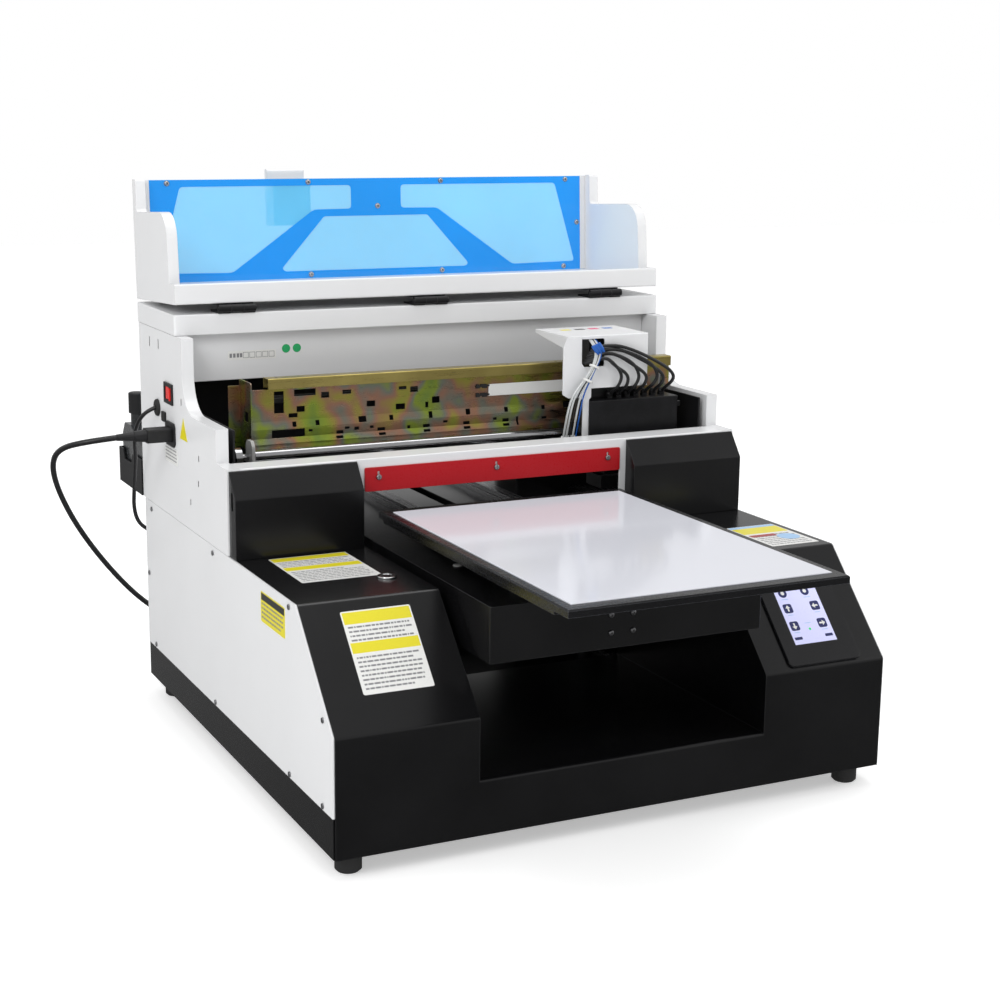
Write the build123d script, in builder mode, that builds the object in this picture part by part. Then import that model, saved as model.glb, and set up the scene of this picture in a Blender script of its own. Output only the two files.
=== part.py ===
from build123d import *
from math import cos, pi, radians, sin, tan
import os

# A3 flatbed UV printer. Millimetres, +Z up, +X to the operator's right, +Y to the back.
# The origin is on the floor, under the centre of the whole machine without its cords.
# Depths in this file are measured back from the front face of the lower body; py() turns them
# into Y.

# ---------------------------------------------------------------- driving dimensions
WIDTH = 660.0                 # over the side panels
BODY_DEPTH = 661.0            # lower body, front face to rear face
Y_CENTRE = 316.65             # depth of the origin behind the front face
SHEET = 2.0                   # sheet metal thickness

FOOT_H = 23.4
TRAY_TOP = 66.6               # top edge of the black base tray
SLOPE_Z0, SLOPE_Z1 = 149.3, 258.1
SLOPE_Y = 103.2               # depth of the slope's top edge
DECK_Z = SLOPE_Z1
BAY_X = 171.6                 # half width of the U-shaped bay
SILL_Z = 83.8

UPPER_FRONT = 319.0           # front face of the upper body
UPPER_BACK = 668.0
LEDGE_Z = 356.4
WALL_T = 15.0                 # folded upper side walls
STEP_Z = 395.0
WALL_TOP = 481.5
COVER_Z0, COVER_Z1 = 481.9, 506.3
COVER_Y0, COVER_Y1 = 509.5, 674.0

HINGE_Y, HINGE_Z = 508.0, 512.4
LID_LEAN = 3.0                # the open lid leans back by this many degrees
LID_X = 328.0
LID_B0, LID_B1 = 6.0, 30.0    # lid pan, from its outer skin to its inner skin
LID_A0, LID_A1 = 1.5, 172.0
CHEEK_T = 13.0

PLATE_X, PLATE_L = 147.0, 420.0        # A3 plate, half width and length
PLATE_Y0 = -137.7
PLATE_TOP = 300.8
FRAME_RIM = 11.0              # platen frame outside the plate
PLATEN_Z0 = 285.8
TABLE_TRAVEL = 510.0

BOX_X = 161.5                 # table box, half width
BOX_Y0, BOX_Y1 = 1.0, 655.0
BOX_Z0, BOX_Z1 = 203.8, 263.2
RAIL_X, RAIL_W, RAIL_H = 70.0, 15.0, 12.0
LIFT_TRAVEL = 110.0
SCREW_X, SCREW_Y, SCREW_R = 262.0, 490.0, 6.0
ROD_Y = (410.0, 570.0)
RUNNING = 0.05                # radial clearance of a running fit

FRAME_Y = 434.0               # front of the perforated carriage frame
FRAME_X0, FRAME_X1 = -262.4, 290.0
RAIL_TOP = 437.0
ROLLER_Y, ROLLER_Z, ROLLER_R = 418.0, 349.0, 7.0
CARRIAGE_TRAVEL = 400.0
PULLEY_R = 8.0
BELT_T, BELT_W = 1.2, 6.0
BELT_Y = 462.0
IDLER_X, DRIVE_X = -245.0, 275.0

LEAD_D, LEAD_COIL_R, LEAD_TURNS = 7.0, 39.0, 3
LEAD_COIL_X, LEAD_COIL_Y = -165.0, 760.0
LINK_D = 5.0

os.makedirs("parts", exist_ok=True)


# ---------------------------------------------------------------- helpers
def py(depth):
    """Y of a point at this depth behind the front face of the lower body."""
    return depth - Y_CENTRE


def block(x0, x1, y0, y1, z0, z1, mode=Mode.ADD):
    """A rectangular block between two corners, in the part being built."""
    with Locations(((x0 + x1) / 2, py((y0 + y1) / 2), (z0 + z1) / 2)):
        Box(x1 - x0, y1 - y0, z1 - z0, mode=mode)


def side_profile(points, x0, x1, mode=Mode.ADD, radii=0):
    """A (depth, height) outline, extruded from x0 to x1. radii rounds its corners."""
    with BuildSketch(Plane.YZ.offset(x0)) as profile:
        with BuildLine():
            FilletPolyline(*[(py(y), z) for y, z in points], radius=radii, close=True)
        make_face()
    extrude(profile.sketch, amount=x1 - x0, mode=mode)


def front_profile(points, y0, y1, mode=Mode.ADD, radii=0):
    """An (x, height) outline, extruded from depth y0 to depth y1."""
    with BuildSketch(Plane.XZ.offset(-py(y1))) as profile:
        with BuildLine():
            FilletPolyline(*points, radius=radii, close=True)
        make_face()
    extrude(profile.sketch, amount=y1 - y0, mode=mode)


def plan_profile(points, z0, z1, mode=Mode.ADD, radii=0):
    """An (x, depth) outline, extruded from height z0 to height z1."""
    with BuildSketch(Plane.XY.offset(z0)) as profile:
        with BuildLine():
            FilletPolyline(*[(x, py(y)) for x, y in points], radius=radii, close=True)
        make_face()
    extrude(profile.sketch, amount=z1 - z0, mode=mode)


def rod_x(x0, x1, y, z, radius, mode=Mode.ADD):
    with BuildSketch(Plane.YZ.offset(x0)) as profile:
        with Locations((py(y), z)):
            Circle(radius)
    extrude(profile.sketch, amount=x1 - x0, mode=mode)


def rod_y(x, y0, y1, z, radius, mode=Mode.ADD):
    with BuildSketch(Plane.XZ.offset(-py(y1))) as profile:
        with Locations((x, z)):
            Circle(radius)
    extrude(profile.sketch, amount=y1 - y0, mode=mode)


def rod_z(x, y, z0, z1, radius, mode=Mode.ADD):
    with BuildSketch(Plane.XY.offset(z0)) as profile:
        with Locations((x, py(y))):
            Circle(radius)
    extrude(profile.sketch, amount=z1 - z0, mode=mode)


def lid_plane(x):
    """Plane across the lid at x: its own x runs back along the pan, its own y runs up."""
    lean = radians(LID_LEAN)
    return Plane(
        origin=(x, py(HINGE_Y), HINGE_Z),
        x_dir=(0, cos(lean), -sin(lean)),
        z_dir=(1, 0, 0),
    )


def lid_profile(points, x0, x1, mode=Mode.ADD, radii=0):
    """An (a, b) outline in the lid's own frame, extruded from x0 to x1."""
    with BuildSketch(lid_plane(x0)) as profile:
        with BuildLine():
            FilletPolyline(*points, radius=radii, close=True)
        make_face()
    extrude(profile.sketch, amount=x1 - x0, mode=mode)


def lid_block(x0, x1, a0, a1, b0, b1, mode=Mode.ADD):
    lid_profile([(a0, b0), (a1, b0), (a1, b1), (a0, b1)], x0, x1, mode)


def cord_tube(route, diameter, name):
    """A tube along straight runs joined by arcs as large as the runs allow."""
    points = [Vector(x, py(y), z) for x, y, z in route]
    radii = []
    for before, here, after in zip(points, points[1:], points[2:]):
        turn = (here - before).get_angle(after - here)
        run = min((here - before).length, (after - here).length)
        radii.append(0.45 * run / tan(radians(turn) / 2))
    with BuildLine() as path:
        FilletPolyline(*points, radius=radii)
    wire = path.wires()[0]
    with BuildSketch(Plane(origin=points[0], z_dir=points[1] - points[0])) as section:
        Circle(diameter / 2)
    with BuildPart() as tube:
        sweep(section.sketch, path=wire)
    ratio = tube.part.volume / (pi * diameter**2 / 4 * wire.length)
    print(f"{name}: {wire.length:.0f} mm, radii {[round(r) for r in radii]}, volume ratio {ratio:.4f}")
    return tube.part


def export(builder, label):
    builder.part.label = label
    export_step(builder.part, f"parts/{label}.step")


# ---------------------------------------------------------------- base and lower body
with BuildPart() as base_tray:
    block(-WIDTH / 2, WIDTH / 2, 2.2, BODY_DEPTH, FOOT_H, TRAY_TOP)
    fillet(base_tray.edges().filter_by(Axis.Z).group_by(Axis.Y)[-1], radius=3)
    block(-WIDTH / 2 + SHEET, WIDTH / 2 - SHEET, 4.2, BODY_DEPTH - SHEET, FOOT_H + 3, TRAY_TOP + 1, Mode.SUBTRACT)
    chamfer(base_tray.faces().sort_by(Axis.Z)[0].edges(), length=1)
export(base_tray, "base_tray")

with BuildPart() as feet:
    for x in (-304, 304):
        for y in (28, 632):
            rod_z(x, y, 0, FOOT_H, 14)
    chamfer(feet.faces().group_by(Axis.Z)[0].edges(), length=2.5)
    fillet(feet.faces().group_by(Axis.Z)[-1].edges(), radius=1)
export(feet, "feet")

with BuildPart() as front_cover:
    # the left pod: front face, slope and deck, with the wall that faces the bay
    side_profile(
        [(0, FOOT_H), (0, SLOPE_Z0), (SLOPE_Y, SLOPE_Z1), (318, SLOPE_Z1), (318, FOOT_H)],
        -328, -BAY_X, radii=[0, 5, 5, 0, 0],
    )
    side_profile(
        [(2, 10), (2, 148.5), (104.07, 256.1), (330, 256.1), (330, 10)],
        -330, -BAY_X - SHEET, Mode.SUBTRACT, radii=[0, 3, 3, 0, 0],
    )
    # clear of the base tray's floor
    block(-328, -BAY_X, 2.1, 330, 20, FOOT_H + 3.1, Mode.SUBTRACT)
    block(-BAY_X - 3, -BAY_X + 1, 2.1, 4.3, 20, TRAY_TOP + 0.1, Mode.SUBTRACT)
    mirror(about=Plane.YZ)
    rod_z(-203, 168, 240, 262, 8.1, Mode.SUBTRACT)
    # the sill and the floor of the bay
    side_profile(
        [
            (0, FOOT_H), (0, SILL_Z), (318, SILL_Z), (318, SILL_Z - SHEET), (SHEET, SILL_Z - SHEET),
            (SHEET, FOOT_H),
        ],
        -BAY_X, BAY_X, radii=[0, 3.5, 0, 0, 1.5, 0],
    )
    front_profile(
        [(215, 165), (289, 165), (289, 212), (215, 212)], -5, 100, Mode.SUBTRACT, radii=3,
    )
export(front_cover, "front_cover")

side_outline = [
    (1.5, 66.9), (1.5, 150.2), (103.8, 257.9), (BODY_DEPTH, 257.9), (BODY_DEPTH, 66.9),
]
with BuildPart() as side_panels:
    for x0, x1, f0, f1 in (
        (-WIDTH / 2, -WIDTH / 2 + SHEET, -WIDTH / 2 + SHEET, -WIDTH / 2 + 16),
        (WIDTH / 2 - SHEET, WIDTH / 2, WIDTH / 2 - 16, WIDTH / 2 - SHEET),
    ):
        side_profile(side_outline, x0, x1, radii=[1, 3, 3, 2, 2])
        block(f0, f1, BODY_DEPTH - 6, BODY_DEPTH - 4, 68, 256)
export(side_panels, "side_panels")

PANEL_SCREWS = [
    (631, 248.3), (376, 249.4), (121.3, 251.5), (650, 161), (626, 72), (377, 71),
    (26.8, 161), (125, 70.8), (28.9, 71.2),
]
with BuildPart() as rear_panels:
    front_profile(
        [(-327.8, 66.9), (327.8, 66.9), (327.8, 257.9), (170, 257.9), (170, 150), (-170, 150), (-170, 257.9), (-327.8, 257.9)],
        BODY_DEPTH - 3, BODY_DEPTH - 1,
    )
    with BuildSketch(Plane.XZ.offset(-py(BODY_DEPTH))) as vents:
        with GridLocations(0, 9, 1, 9):
            with Locations((-250, 165), (250, 165)):
                SlotOverall(90, 4)
    extrude(vents.sketch, amount=5, mode=Mode.SUBTRACT)
    with Locations((-300, py(BODY_DEPTH - 2), 200)):
        Cylinder(5.6, 10, rotation=(90, 0, 0), mode=Mode.SUBTRACT)
    # upper panel
    front_profile(
        [(-314.6, 258.3), (-170, 258.3), (-170, 320), (170, 320), (170, 258.3), (314.6, 258.3), (314.6, 481), (-314.6, 481)],
        UPPER_BACK - 3, UPPER_BACK - 1.5,
    )
    with BuildSketch(Plane.XZ.offset(-py(UPPER_BACK))) as grille:
        with GridLocations(0, 10, 1, 8):
            with Locations((-190, 420), (0, 420), (190, 420)):
                SlotOverall(120, 4)
    extrude(grille.sketch, amount=5, mode=Mode.SUBTRACT)
export(rear_panels, "rear_panels")

# ---------------------------------------------------------------- upper body
def upper_wall(x_out, x_in, skin):
    """A folded upper side wall between its outer and inner face, hollow and open below."""
    low, high = min(x_out, x_in), max(x_out, x_in)
    for inset, x0, x1, mode in ((0, low, high, Mode.ADD), (skin, low + skin, high - skin, Mode.SUBTRACT)):
        with BuildSketch(Plane.YZ.offset(x0)) as profile:
            with BuildLine():
                corner = STEP_Z - inset
                arc_start = (py(442), corner)
                arc_end = (py(484 + inset), STEP_Z + 42)
                arc = RadiusArc(arc_start, arc_end, -(42 + inset))
                Polyline(
                    arc @ 1,
                    (py(484 + inset), WALL_TOP - inset),
                    (py(UPPER_BACK - inset), WALL_TOP - inset),
                    (py(UPPER_BACK - inset), DECK_Z + 0.2),
                    (py(UPPER_FRONT + inset), DECK_Z + 0.2),
                    (py(UPPER_FRONT + inset), LEDGE_Z - inset),
                    (py(357.5 + inset), LEDGE_Z - inset),
                    (py(357.5 + inset), corner),
                    arc @ 0,
                )
            make_face()
        extrude(profile.sketch, amount=x1 - x0, mode=mode)


with BuildPart() as upper_side_walls:
    upper_wall(-WIDTH / 2, -WIDTH / 2 + WALL_T, 1.5)
    upper_wall(WIDTH / 2, WIDTH / 2 - WALL_T, 1.5)
    # slots on both sides
    for y, z, half in ((621, 463, 6), (582, 464, 6), (424, 350, 3.5), (427, 320, 3.5), (460, 292, 3.5), (490, 406, 4)):
        block(-WIDTH / 2 - 1, -WIDTH / 2 + 1.6, y - 2.1, y + 2.1, z - half, z + half, Mode.SUBTRACT)
        block(WIDTH / 2 - 1.6, WIDTH / 2 + 1, y - 2.1, y + 2.1, z - half, z + half, Mode.SUBTRACT)
    # switch, inlet and cable cut-outs on the left, a fixing hole inside the right wall
    block(-WIDTH / 2 - 1, -WIDTH / 2 + WALL_T + 1, 524, 554, 399.5, 419.5, Mode.SUBTRACT)
    block(-WIDTH / 2 - 1, -WIDTH / 2 + WALL_T + 1, 520, 548, 350, 372, Mode.SUBTRACT)
    rod_x(-WIDTH / 2 - 1, -WIDTH / 2 + WALL_T + 1, 589, 385, 7.6, Mode.SUBTRACT)
    rod_x(WIDTH / 2 - WALL_T - 1, WIDTH / 2 - WALL_T + 2, 395, 371, 2.6, Mode.SUBTRACT)
export(upper_side_walls, "upper_side_walls")

with BuildPart() as top_cover:
    block(-WIDTH / 2, WIDTH / 2, COVER_Y0, COVER_Y1, COVER_Z0, COVER_Z1)
    fillet(top_cover.edges().filter_by(Axis.Z), radius=3)
    fillet(top_cover.faces().sort_by(Axis.Z)[-1].edges(), radius=1.2)
    block(-WIDTH / 2 + 2, WIDTH / 2 - 2, COVER_Y0 + 2, COVER_Y1 - 2, COVER_Z0 - 1, COVER_Z1 - 2, Mode.SUBTRACT)
export(top_cover, "top_cover")


with BuildPart() as interior_panel:
    block(-314.6, 314.6, 522, 523.5, 424, 503)
    block(-314.6, 314.6, 523.5, 533, 424, 425.5)
    fillet(interior_panel.edges().filter_by(Axis.X).group_by(Axis.Z)[0].sort_by(Axis.Y)[0], radius=1.2)
export(interior_panel, "interior_panel")

with BuildPart() as front_beam:
    front_profile(
        [(-314.8, 258.3), (-167.5, 258.3), (-167.5, 322), (167.5, 322), (167.5, 258.3), (314.8, 258.3), (314.8, LEDGE_Z), (-314.8, LEDGE_Z)],
        UPPER_FRONT, UPPER_FRONT + 1.5,
    )
    block(-314.8, 314.8, UPPER_FRONT, 353, LEDGE_Z - 1.5, LEDGE_Z)
    block(-314.8, 314.8, 351.5, 353, LEDGE_Z - 10, LEDGE_Z)
    fillet(front_beam.edges().filter_by(Axis.X).group_by(Axis.Z)[-1], radius=1.4)
    for x in (-150, 0, 150):
        rod_y(x, UPPER_FRONT - 1, UPPER_FRONT + 3, 334.5, 1.7, Mode.SUBTRACT)
export(front_beam, "front_beam")

with BuildPart() as red_guard_bar:
    front_profile(
        [(-167, 318.3), (167, 318.3), (167, 346.1), (-167, 346.1)], 317.2, 318.8, radii=2,
    )
    for x in (-150, 0, 150):
        rod_y(x, 316, 320, 334.5, 2.8, Mode.SUBTRACT)
        block(x - 1.5, x + 1.5, 316, 320, 334.5, 340, Mode.SUBTRACT)
        rod_y(x, 316, 320, 340, 1.5, Mode.SUBTRACT)
export(red_guard_bar, "red_guard_bar")

with BuildPart() as cover_screws:
    # three pan heads in the guard bar's keyholes, and one row round each side panel
    for x in (-150, 0, 150):
        rod_y(x, 315.0, 317.1, 334.5, 3.3)
    fillet(cover_screws.faces().group_by(Axis.Y)[0].edges(), radius=1.2)
    for x in (-150, 0, 150):
        block(x - 2.2, x + 2.2, 314.9, 315.9, 334.1, 334.9, Mode.SUBTRACT)
        block(x - 0.4, x + 0.4, 314.9, 315.9, 332.3, 336.7, Mode.SUBTRACT)
        rod_y(x, 317.1, 325, 334.5, 1.5)
    for y, z in PANEL_SCREWS:
        for x in (-WIDTH / 2 - 1.3, WIDTH / 2):
            rod_x(x, x + 1.3, y, z, 3.0)
export(cover_screws, "cover_screws")


def shoulder(x0, x1):
    side_profile(
        [(297, DECK_Z + 0.2), (297, 325.9), (318.7, 354.4), (318.7, DECK_Z + 0.2)],
        x0, x1, radii=[0, 3, 0, 0],
    )
    side_profile(
        [(299, 240), (299, 325.2), (318.6, 350.9), (330, 351), (330, 240)],
        x0 + SHEET, x1 - SHEET, Mode.SUBTRACT, radii=[0, 1.5, 0, 0, 0],
    )


with BuildPart() as shoulder_covers:
    shoulder(-328, -176)
    shoulder(176, 328)
    with BuildSketch(Plane.YZ.offset(-330)) as hole:
        with Locations((py(308), 322.5)):
            SlotOverall(22, 7, rotation=90)
    extrude(hole.sketch, amount=5, mode=Mode.SUBTRACT)
export(shoulder_covers, "shoulder_covers")

# ---------------------------------------------------------------- inner structure
with BuildPart() as chassis:
    # two side plates, and a rear plate with the way out for the table
    for side in (-1, 1):
        x0, x1 = sorted((side * 306.0, side * 308.0))
        block(x0, x1, 330, 650, FOOT_H + 3, 346)
        block(x0, x1, 362, 650, 346, 392)
        block(x0, x1, 534, 650, 392, 476)
    front_profile(
        [
            (-306, FOOT_H + 3), (-170, FOOT_H + 3), (-170, 320), (170, 320), (170, FOOT_H + 3),
            (306, FOOT_H + 3), (306, 476), (-306, 476),
        ],
        598, 600,
    )
export(chassis, "chassis")

with BuildPart() as carriage_frame:
    # plated sheet with a stepped lower edge
    side_profile(
        [
            (434, 424), (434, 386), (431.5, 377), (431.5, 366), (427.5, 360), (427.5, 352),
            (429, 352), (429, 359.6), (433, 365.5), (433, 376.8), (435.5, 385.8), (435.5, 424),
        ],
        FRAME_X0, FRAME_X1,
    )
    for x0, x1, z0, z1 in (
        (-234, -222, 395, 421), (-209, -182, 414, 422), (-175, -165, 410, 417), (-148, -137, 413, 418),
        (-206, -196, 395, 402), (-216, -205, 389, 394), (-117, -106, 396, 403), (-75, -65, 414, 418),
        (-60, -50, 410, 417), (-79, -67, 390, 397), (-40, -36, 390, 397), (-31, -21, 395, 403),
        (-212, -207, 378, 384), (-183, -178, 378, 384), (-128, -118, 378, 385), (-88, -83, 378, 384),
        (-36, -31, 377, 385), (-238, -197, 366, 375.5), (-192, -187, 371, 374), (-157, -148, 366, 370),
        (-146, -140, 371, 374), (-134, -128, 369, 373), (-158, -149, 361, 364), (-114, -109, 370, 373),
        (-104, -94, 366, 370), (-103, -94, 361, 364), (-65, -61, 366, 370), (-44, -35, 366, 370),
        (-44, -35, 361, 364), (-17, -11, 370, 373), (10, 19, 366, 370), (10, 19, 361, 364),
        (14, 20, 378, 385), (67, 72, 378, 384), (119, 124, 378, 383), (51, 56, 369, 372),
        (64, 73, 366, 370), (64, 73, 361, 364), (83, 86, 361, 371), (119, 126, 366, 369),
        (150, 160, 378, 385), (180, 190, 366, 371), (215, 225, 378, 385), (240, 252, 395, 402),
    ):
        block(x0, x1, 424, 438, z0, z1, Mode.SUBTRACT)
    # left end bracket, with the drum that the belt turns on
    side_profile(
        [(430, 352), (472, 352), (472, 433), (430, 433)], -264, -262.4, radii=[0, 0, 3, 3],
    )
    block(-278, -264, 470.4, 472, 352, 425)
    block(-264, -262.4, 440, 455, 385, 397, Mode.SUBTRACT)
    block(-262.4, -236, 456, 468, 400, 402)
    rod_z(IDLER_X, BELT_Y, 402, 412, PULLEY_R)
    # right end bracket, arched
    front_profile(
        [(292, 345), (305.5, 345), (305.5, 396), (313, 396), (313, 430), (292, 430)],
        446.5, 448, radii=[0, 0, 0, 0, 13, 0],
    )
    front_profile(
        [(290, 386), (301, 386), (301, 420), (290, 420)], 445, 449, Mode.SUBTRACT, radii=[0, 0, 9, 0],
    )
export(carriage_frame, "carriage_frame")

with BuildPart() as carriage_rail:
    block(-243, 304, 428, 446, 424.5, RAIL_TOP)
    fillet(carriage_rail.edges().filter_by(Axis.X).group_by(Axis.Z)[-1], radius=1.5)
    block(-245, 306, 429.5, 444.5, 420, RAIL_TOP - 1.5, Mode.SUBTRACT)
    for x in (-230, -80, 73, 140):
        rod_z(x, 437, 430, 440, 2.0, Mode.SUBTRACT)
export(carriage_rail, "carriage_rail")

with BuildPart() as feed_roller:
    rod_x(-265, 284, ROLLER_Y, ROLLER_Z, ROLLER_R)
    # hand wheel on the left end of the shaft
    rod_x(-290, -282, ROLLER_Y, ROLLER_Z, 12)
    rod_x(-291, -287.5, ROLLER_Y, ROLLER_Z, 9, Mode.SUBTRACT)
    rod_x(-289.5, -286, ROLLER_Y, ROLLER_Z, 6)
    rod_x(-292, 295, ROLLER_Y, ROLLER_Z, 4)
    chamfer(feed_roller.edges().filter_by(GeomType.CIRCLE).sort_by(Axis.X)[0], length=0.8)
export(feed_roller, "feed_roller")

with BuildPart() as roller_bearings:
    for x0, x1 in ((-272, -268), (286, 290)):
        side_profile(
            [(404, 325), (404, 363), (409, 369), (422, 369), (427, 363), (427, 325)],
            x0, x1, radii=[0, 6, 3, 3, 6, 0],
        )
        rod_x(x0 - 1, x1 + 1, ROLLER_Y, ROLLER_Z, 4 + RUNNING, Mode.SUBTRACT)
    for x0, x1 in ((-306, -268), (286, 306)):
        block(x0, x1, 404, 427, 322, 325)
export(roller_bearings, "roller_bearings")

# carriage drive: motor, pulley and belt
with BuildPart() as carriage_motor:
    rod_z(DRIVE_X, BELT_Y, 352, 396, 18)
    rod_z(DRIVE_X, BELT_Y, 396, 398, 9)
    rod_z(DRIVE_X, BELT_Y, 380, 399, 2.5 + RUNNING, Mode.SUBTRACT)
    block(DRIVE_X + 10, 306, 452, 472, 352, 358)
export(carriage_motor, "carriage_motor")

with BuildPart() as carriage_drive_pulley:
    rod_z(DRIVE_X, BELT_Y, 401.5, 402.6, 9.5)
    rod_z(DRIVE_X, BELT_Y, 402.6, 411.4, PULLEY_R)
    rod_z(DRIVE_X, BELT_Y, 411.4, 412.4, 9.5)
    rod_z(DRIVE_X, BELT_Y, 382, 414, 2.5)
    block(DRIVE_X + 4, DRIVE_X + 6, 461, 463, 401, 414, Mode.SUBTRACT)
export(carriage_drive_pulley, "carriage_drive_pulley")

with BuildPart() as carriage_belt:
    with BuildSketch(Plane.XY.offset(404)) as loop:
        with Locations(((IDLER_X + DRIVE_X) / 2, py(BELT_Y))):
            SlotCenterToCenter(DRIVE_X - IDLER_X, 2 * (PULLEY_R + 0.4 + BELT_T))
            SlotCenterToCenter(DRIVE_X - IDLER_X, 2 * (PULLEY_R + 0.4), mode=Mode.SUBTRACT)
    extrude(loop.sketch, amount=BELT_W)
export(carriage_belt, "carriage_belt")

# ---------------------------------------------------------------- print carriage
with BuildPart() as carriage_cover:
    block(126.5, 240, 380, 466, 473.5, 475)
    block(126.5, 240, 380, 381.5, 409.5, 475)
    side_profile([(380, 475), (466, 475), (466, 470), (380, 458)], 126.5, 128)
    side_profile([(380, 475), (466, 475), (466, 470), (380, 458)], 238.5, 240)
    # opening for the ink tubes and the loom
    block(120, 178, 378, 383, 400, 437, Mode.SUBTRACT)
    block(178, 242, 378, 383, 400, 409.5, Mode.SUBTRACT)
    front_profile([(140, 436), (178, 436), (178, 471), (140, 471)], 378, 383, Mode.SUBTRACT, radii=[0, 3, 3, 0])
    block(150, 178, 380, 381.5, 409.5, 436.5)
    fillet(carriage_cover.edges().filter_by(Axis.X).group_by(Axis.Z)[-1].sort_by(Axis.Y)[0], radius=1.4)
    # separate bracket in front of it, down to the lamp
    front_profile(
        [
            (125, 474.5), (145, 474.5), (145.5, 441), (155, 430), (159.5, 427), (159.5, 399), (156.7, 396),
            (156.7, 347), (148, 347), (148, 399), (128, 399), (119.5, 404), (119.5, 462),
        ],
        378.3, 379.8, radii=[1, 1, 3, 4, 3, 1, 1, 1, 1, 6, 4, 3, 3],
    )
export(carriage_cover, "carriage_cover")

with BuildPart() as carriage_body:
    block(166, 236, 398, 426, 394.5, 473.5)
    # hook over the rail, and the clamp on the belt behind it
    block(166, 236, 426, 452, RAIL_TOP + 0.4, 465)
    block(186, 216, 448.5, 452, 403, RAIL_TOP + 0.4)
    block(174, 228, 402, 420, 390, 466, Mode.SUBTRACT)
export(carriage_body, "carriage_body")

with BuildPart() as damper_block:
    block(157, 283, 374, 424, 362, 394.5)
    block(157, 283, 374, 405, 309.2, 362)
    fillet(damper_block.edges().filter_by(Axis.Z).group_by(Axis.Y)[0], radius=2)
    fillet(damper_block.edges().filter_by(Axis.X).group_by(Axis.Z)[-1], radius=1.5)
    block(283, 290, 380, 396, 380, 386)
    for i in range(7):
        rod_z(193 + 12.5 * i, 392, 394.5, 397.5, 4.6)
export(damper_block, "damper_block")

with BuildPart() as print_head:
    block(176, 264, 379, 401, 305.6, 309.2)
    block(184, 256, 382, 398, 305, 305.6)
    for x in (190, 208, 226, 244):
        block(x, x + 0.8, 384, 396, 304.9, 305.3, Mode.SUBTRACT)
export(print_head, "print_head")

with BuildPart() as uv_lamp:
    block(110, 156, 376, 402, 309.2, 338)
    block(112, 154, 378, 400, 307.2, 309.2)
    for i in range(7):
        block(115 + 6 * i, 118 + 6 * i, 381, 399, 338, 344)
export(uv_lamp, "uv_lamp")

with BuildPart() as carriage_hoses:
    # seven ink tubes
    for i in range(7):
        x_end = 193 + 12.5 * i
        z0 = 441 + 2.0 * i
        route = [
            (152.5 + 1.8 * i, 379.8 - 0.001 * i, z0),
            (160 + 3 * i, 370 - 0.9 * (i % 3), z0 + 4),
            (x_end - 16, 366 + 1.5 * (i % 3), z0 - 1 - 1.5 * i),
            (x_end, 376.5, 409),
            (x_end, 392, 397.5),
        ]
        points = [Vector(x, py(y), z) for x, y, z in route]
        with BuildLine() as path:
            FilletPolyline(*points, radius=[4, 6, 5])
        with BuildSketch(Plane(origin=points[0], z_dir=points[1] - points[0])) as section:
            Circle(0.8)
        sweep(section.sketch, path=path.wires()[0])
    # three coolant hoses and leads to the lamp
    for x_end, dx in ((121.5, 0), (133.5, 5), (145.5, 10)):
        route = [
            (160 + dx * 0.6, 376, 471), (165 + dx * 0.6, 371, 452 + dx * 0.2), (154 + dx * 0.5, 370, 425),
            (x_end - 4, 372, 396), (x_end, 378, 372), (x_end, 384, 356),
        ]
        points = [Vector(x, py(y), z) for x, y, z in route]
        with BuildLine() as path:
            FilletPolyline(*points, radius=[8, 12, 12, 8])
        with BuildSketch(Plane(origin=points[0], z_dir=points[1] - points[0])) as section:
            Circle(1.4)
        sweep(section.sketch, path=path.wires()[0])
export(carriage_hoses, "carriage_hoses")

with BuildPart() as capping_station:
    block(172, 268, 370, 408, 284, 300)
    for x0, x1 in ((180, 216), (224, 260)):
        block(x0, x1, 376, 402, 300, 304.4)
        block(x0 + 2, x1 - 2, 378, 400, 302, 305, Mode.SUBTRACT)
    block(240, 306, 374, 404, 278, 284)
export(capping_station, "capping_station")

# ---------------------------------------------------------------- lift (moves in Z)
with BuildPart() as table_box:
    block(-BOX_X, BOX_X, BOX_Y0, BOX_Y1, BOX_Z0, BOX_Z1)
    fillet(table_box.edges().filter_by(Axis.Z).group_by(Axis.Y)[0], radius=1.5)
    block(-BOX_X + 2, BOX_X - 2, BOX_Y0 + 2, BOX_Y1 - 2, BOX_Z0 - 5, BOX_Z1 - 2, Mode.SUBTRACT)
    block(-8, 8, 40, 640, BOX_Z1 - 4, BOX_Z1 + 1, Mode.SUBTRACT)
    block(-BOX_X + 2, BOX_X - 2, 385, 415, BOX_Z0, BOX_Z0 + 2)
    block(-BOX_X + 2, BOX_X - 2, 565, 595, BOX_Z0, BOX_Z0 + 2)
export(table_box, "table_box")

with BuildPart() as table_rails:
    for x in (-RAIL_X, RAIL_X):
        front_profile(
            [
                (x - 7.5, BOX_Z1), (x + 7.5, BOX_Z1), (x + 7.5, BOX_Z1 + 5), (x + 6, BOX_Z1 + 6.5),
                (x + 6, BOX_Z1 + 8.5), (x + 7.5, BOX_Z1 + 10), (x + 7.5, BOX_Z1 + RAIL_H),
                (x - 7.5, BOX_Z1 + RAIL_H), (x - 7.5, BOX_Z1 + 10), (x - 6, BOX_Z1 + 8.5),
                (x - 6, BOX_Z1 + 6.5), (x - 7.5, BOX_Z1 + 5),
            ],
            3.2, 654,
        )
        for i in range(11):
            rod_z(x, 25 + 60 * i, BOX_Z1 + RAIL_H - 3, BOX_Z1 + RAIL_H + 1, 3, Mode.SUBTRACT)
export(table_rails, "table_rails")

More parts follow.
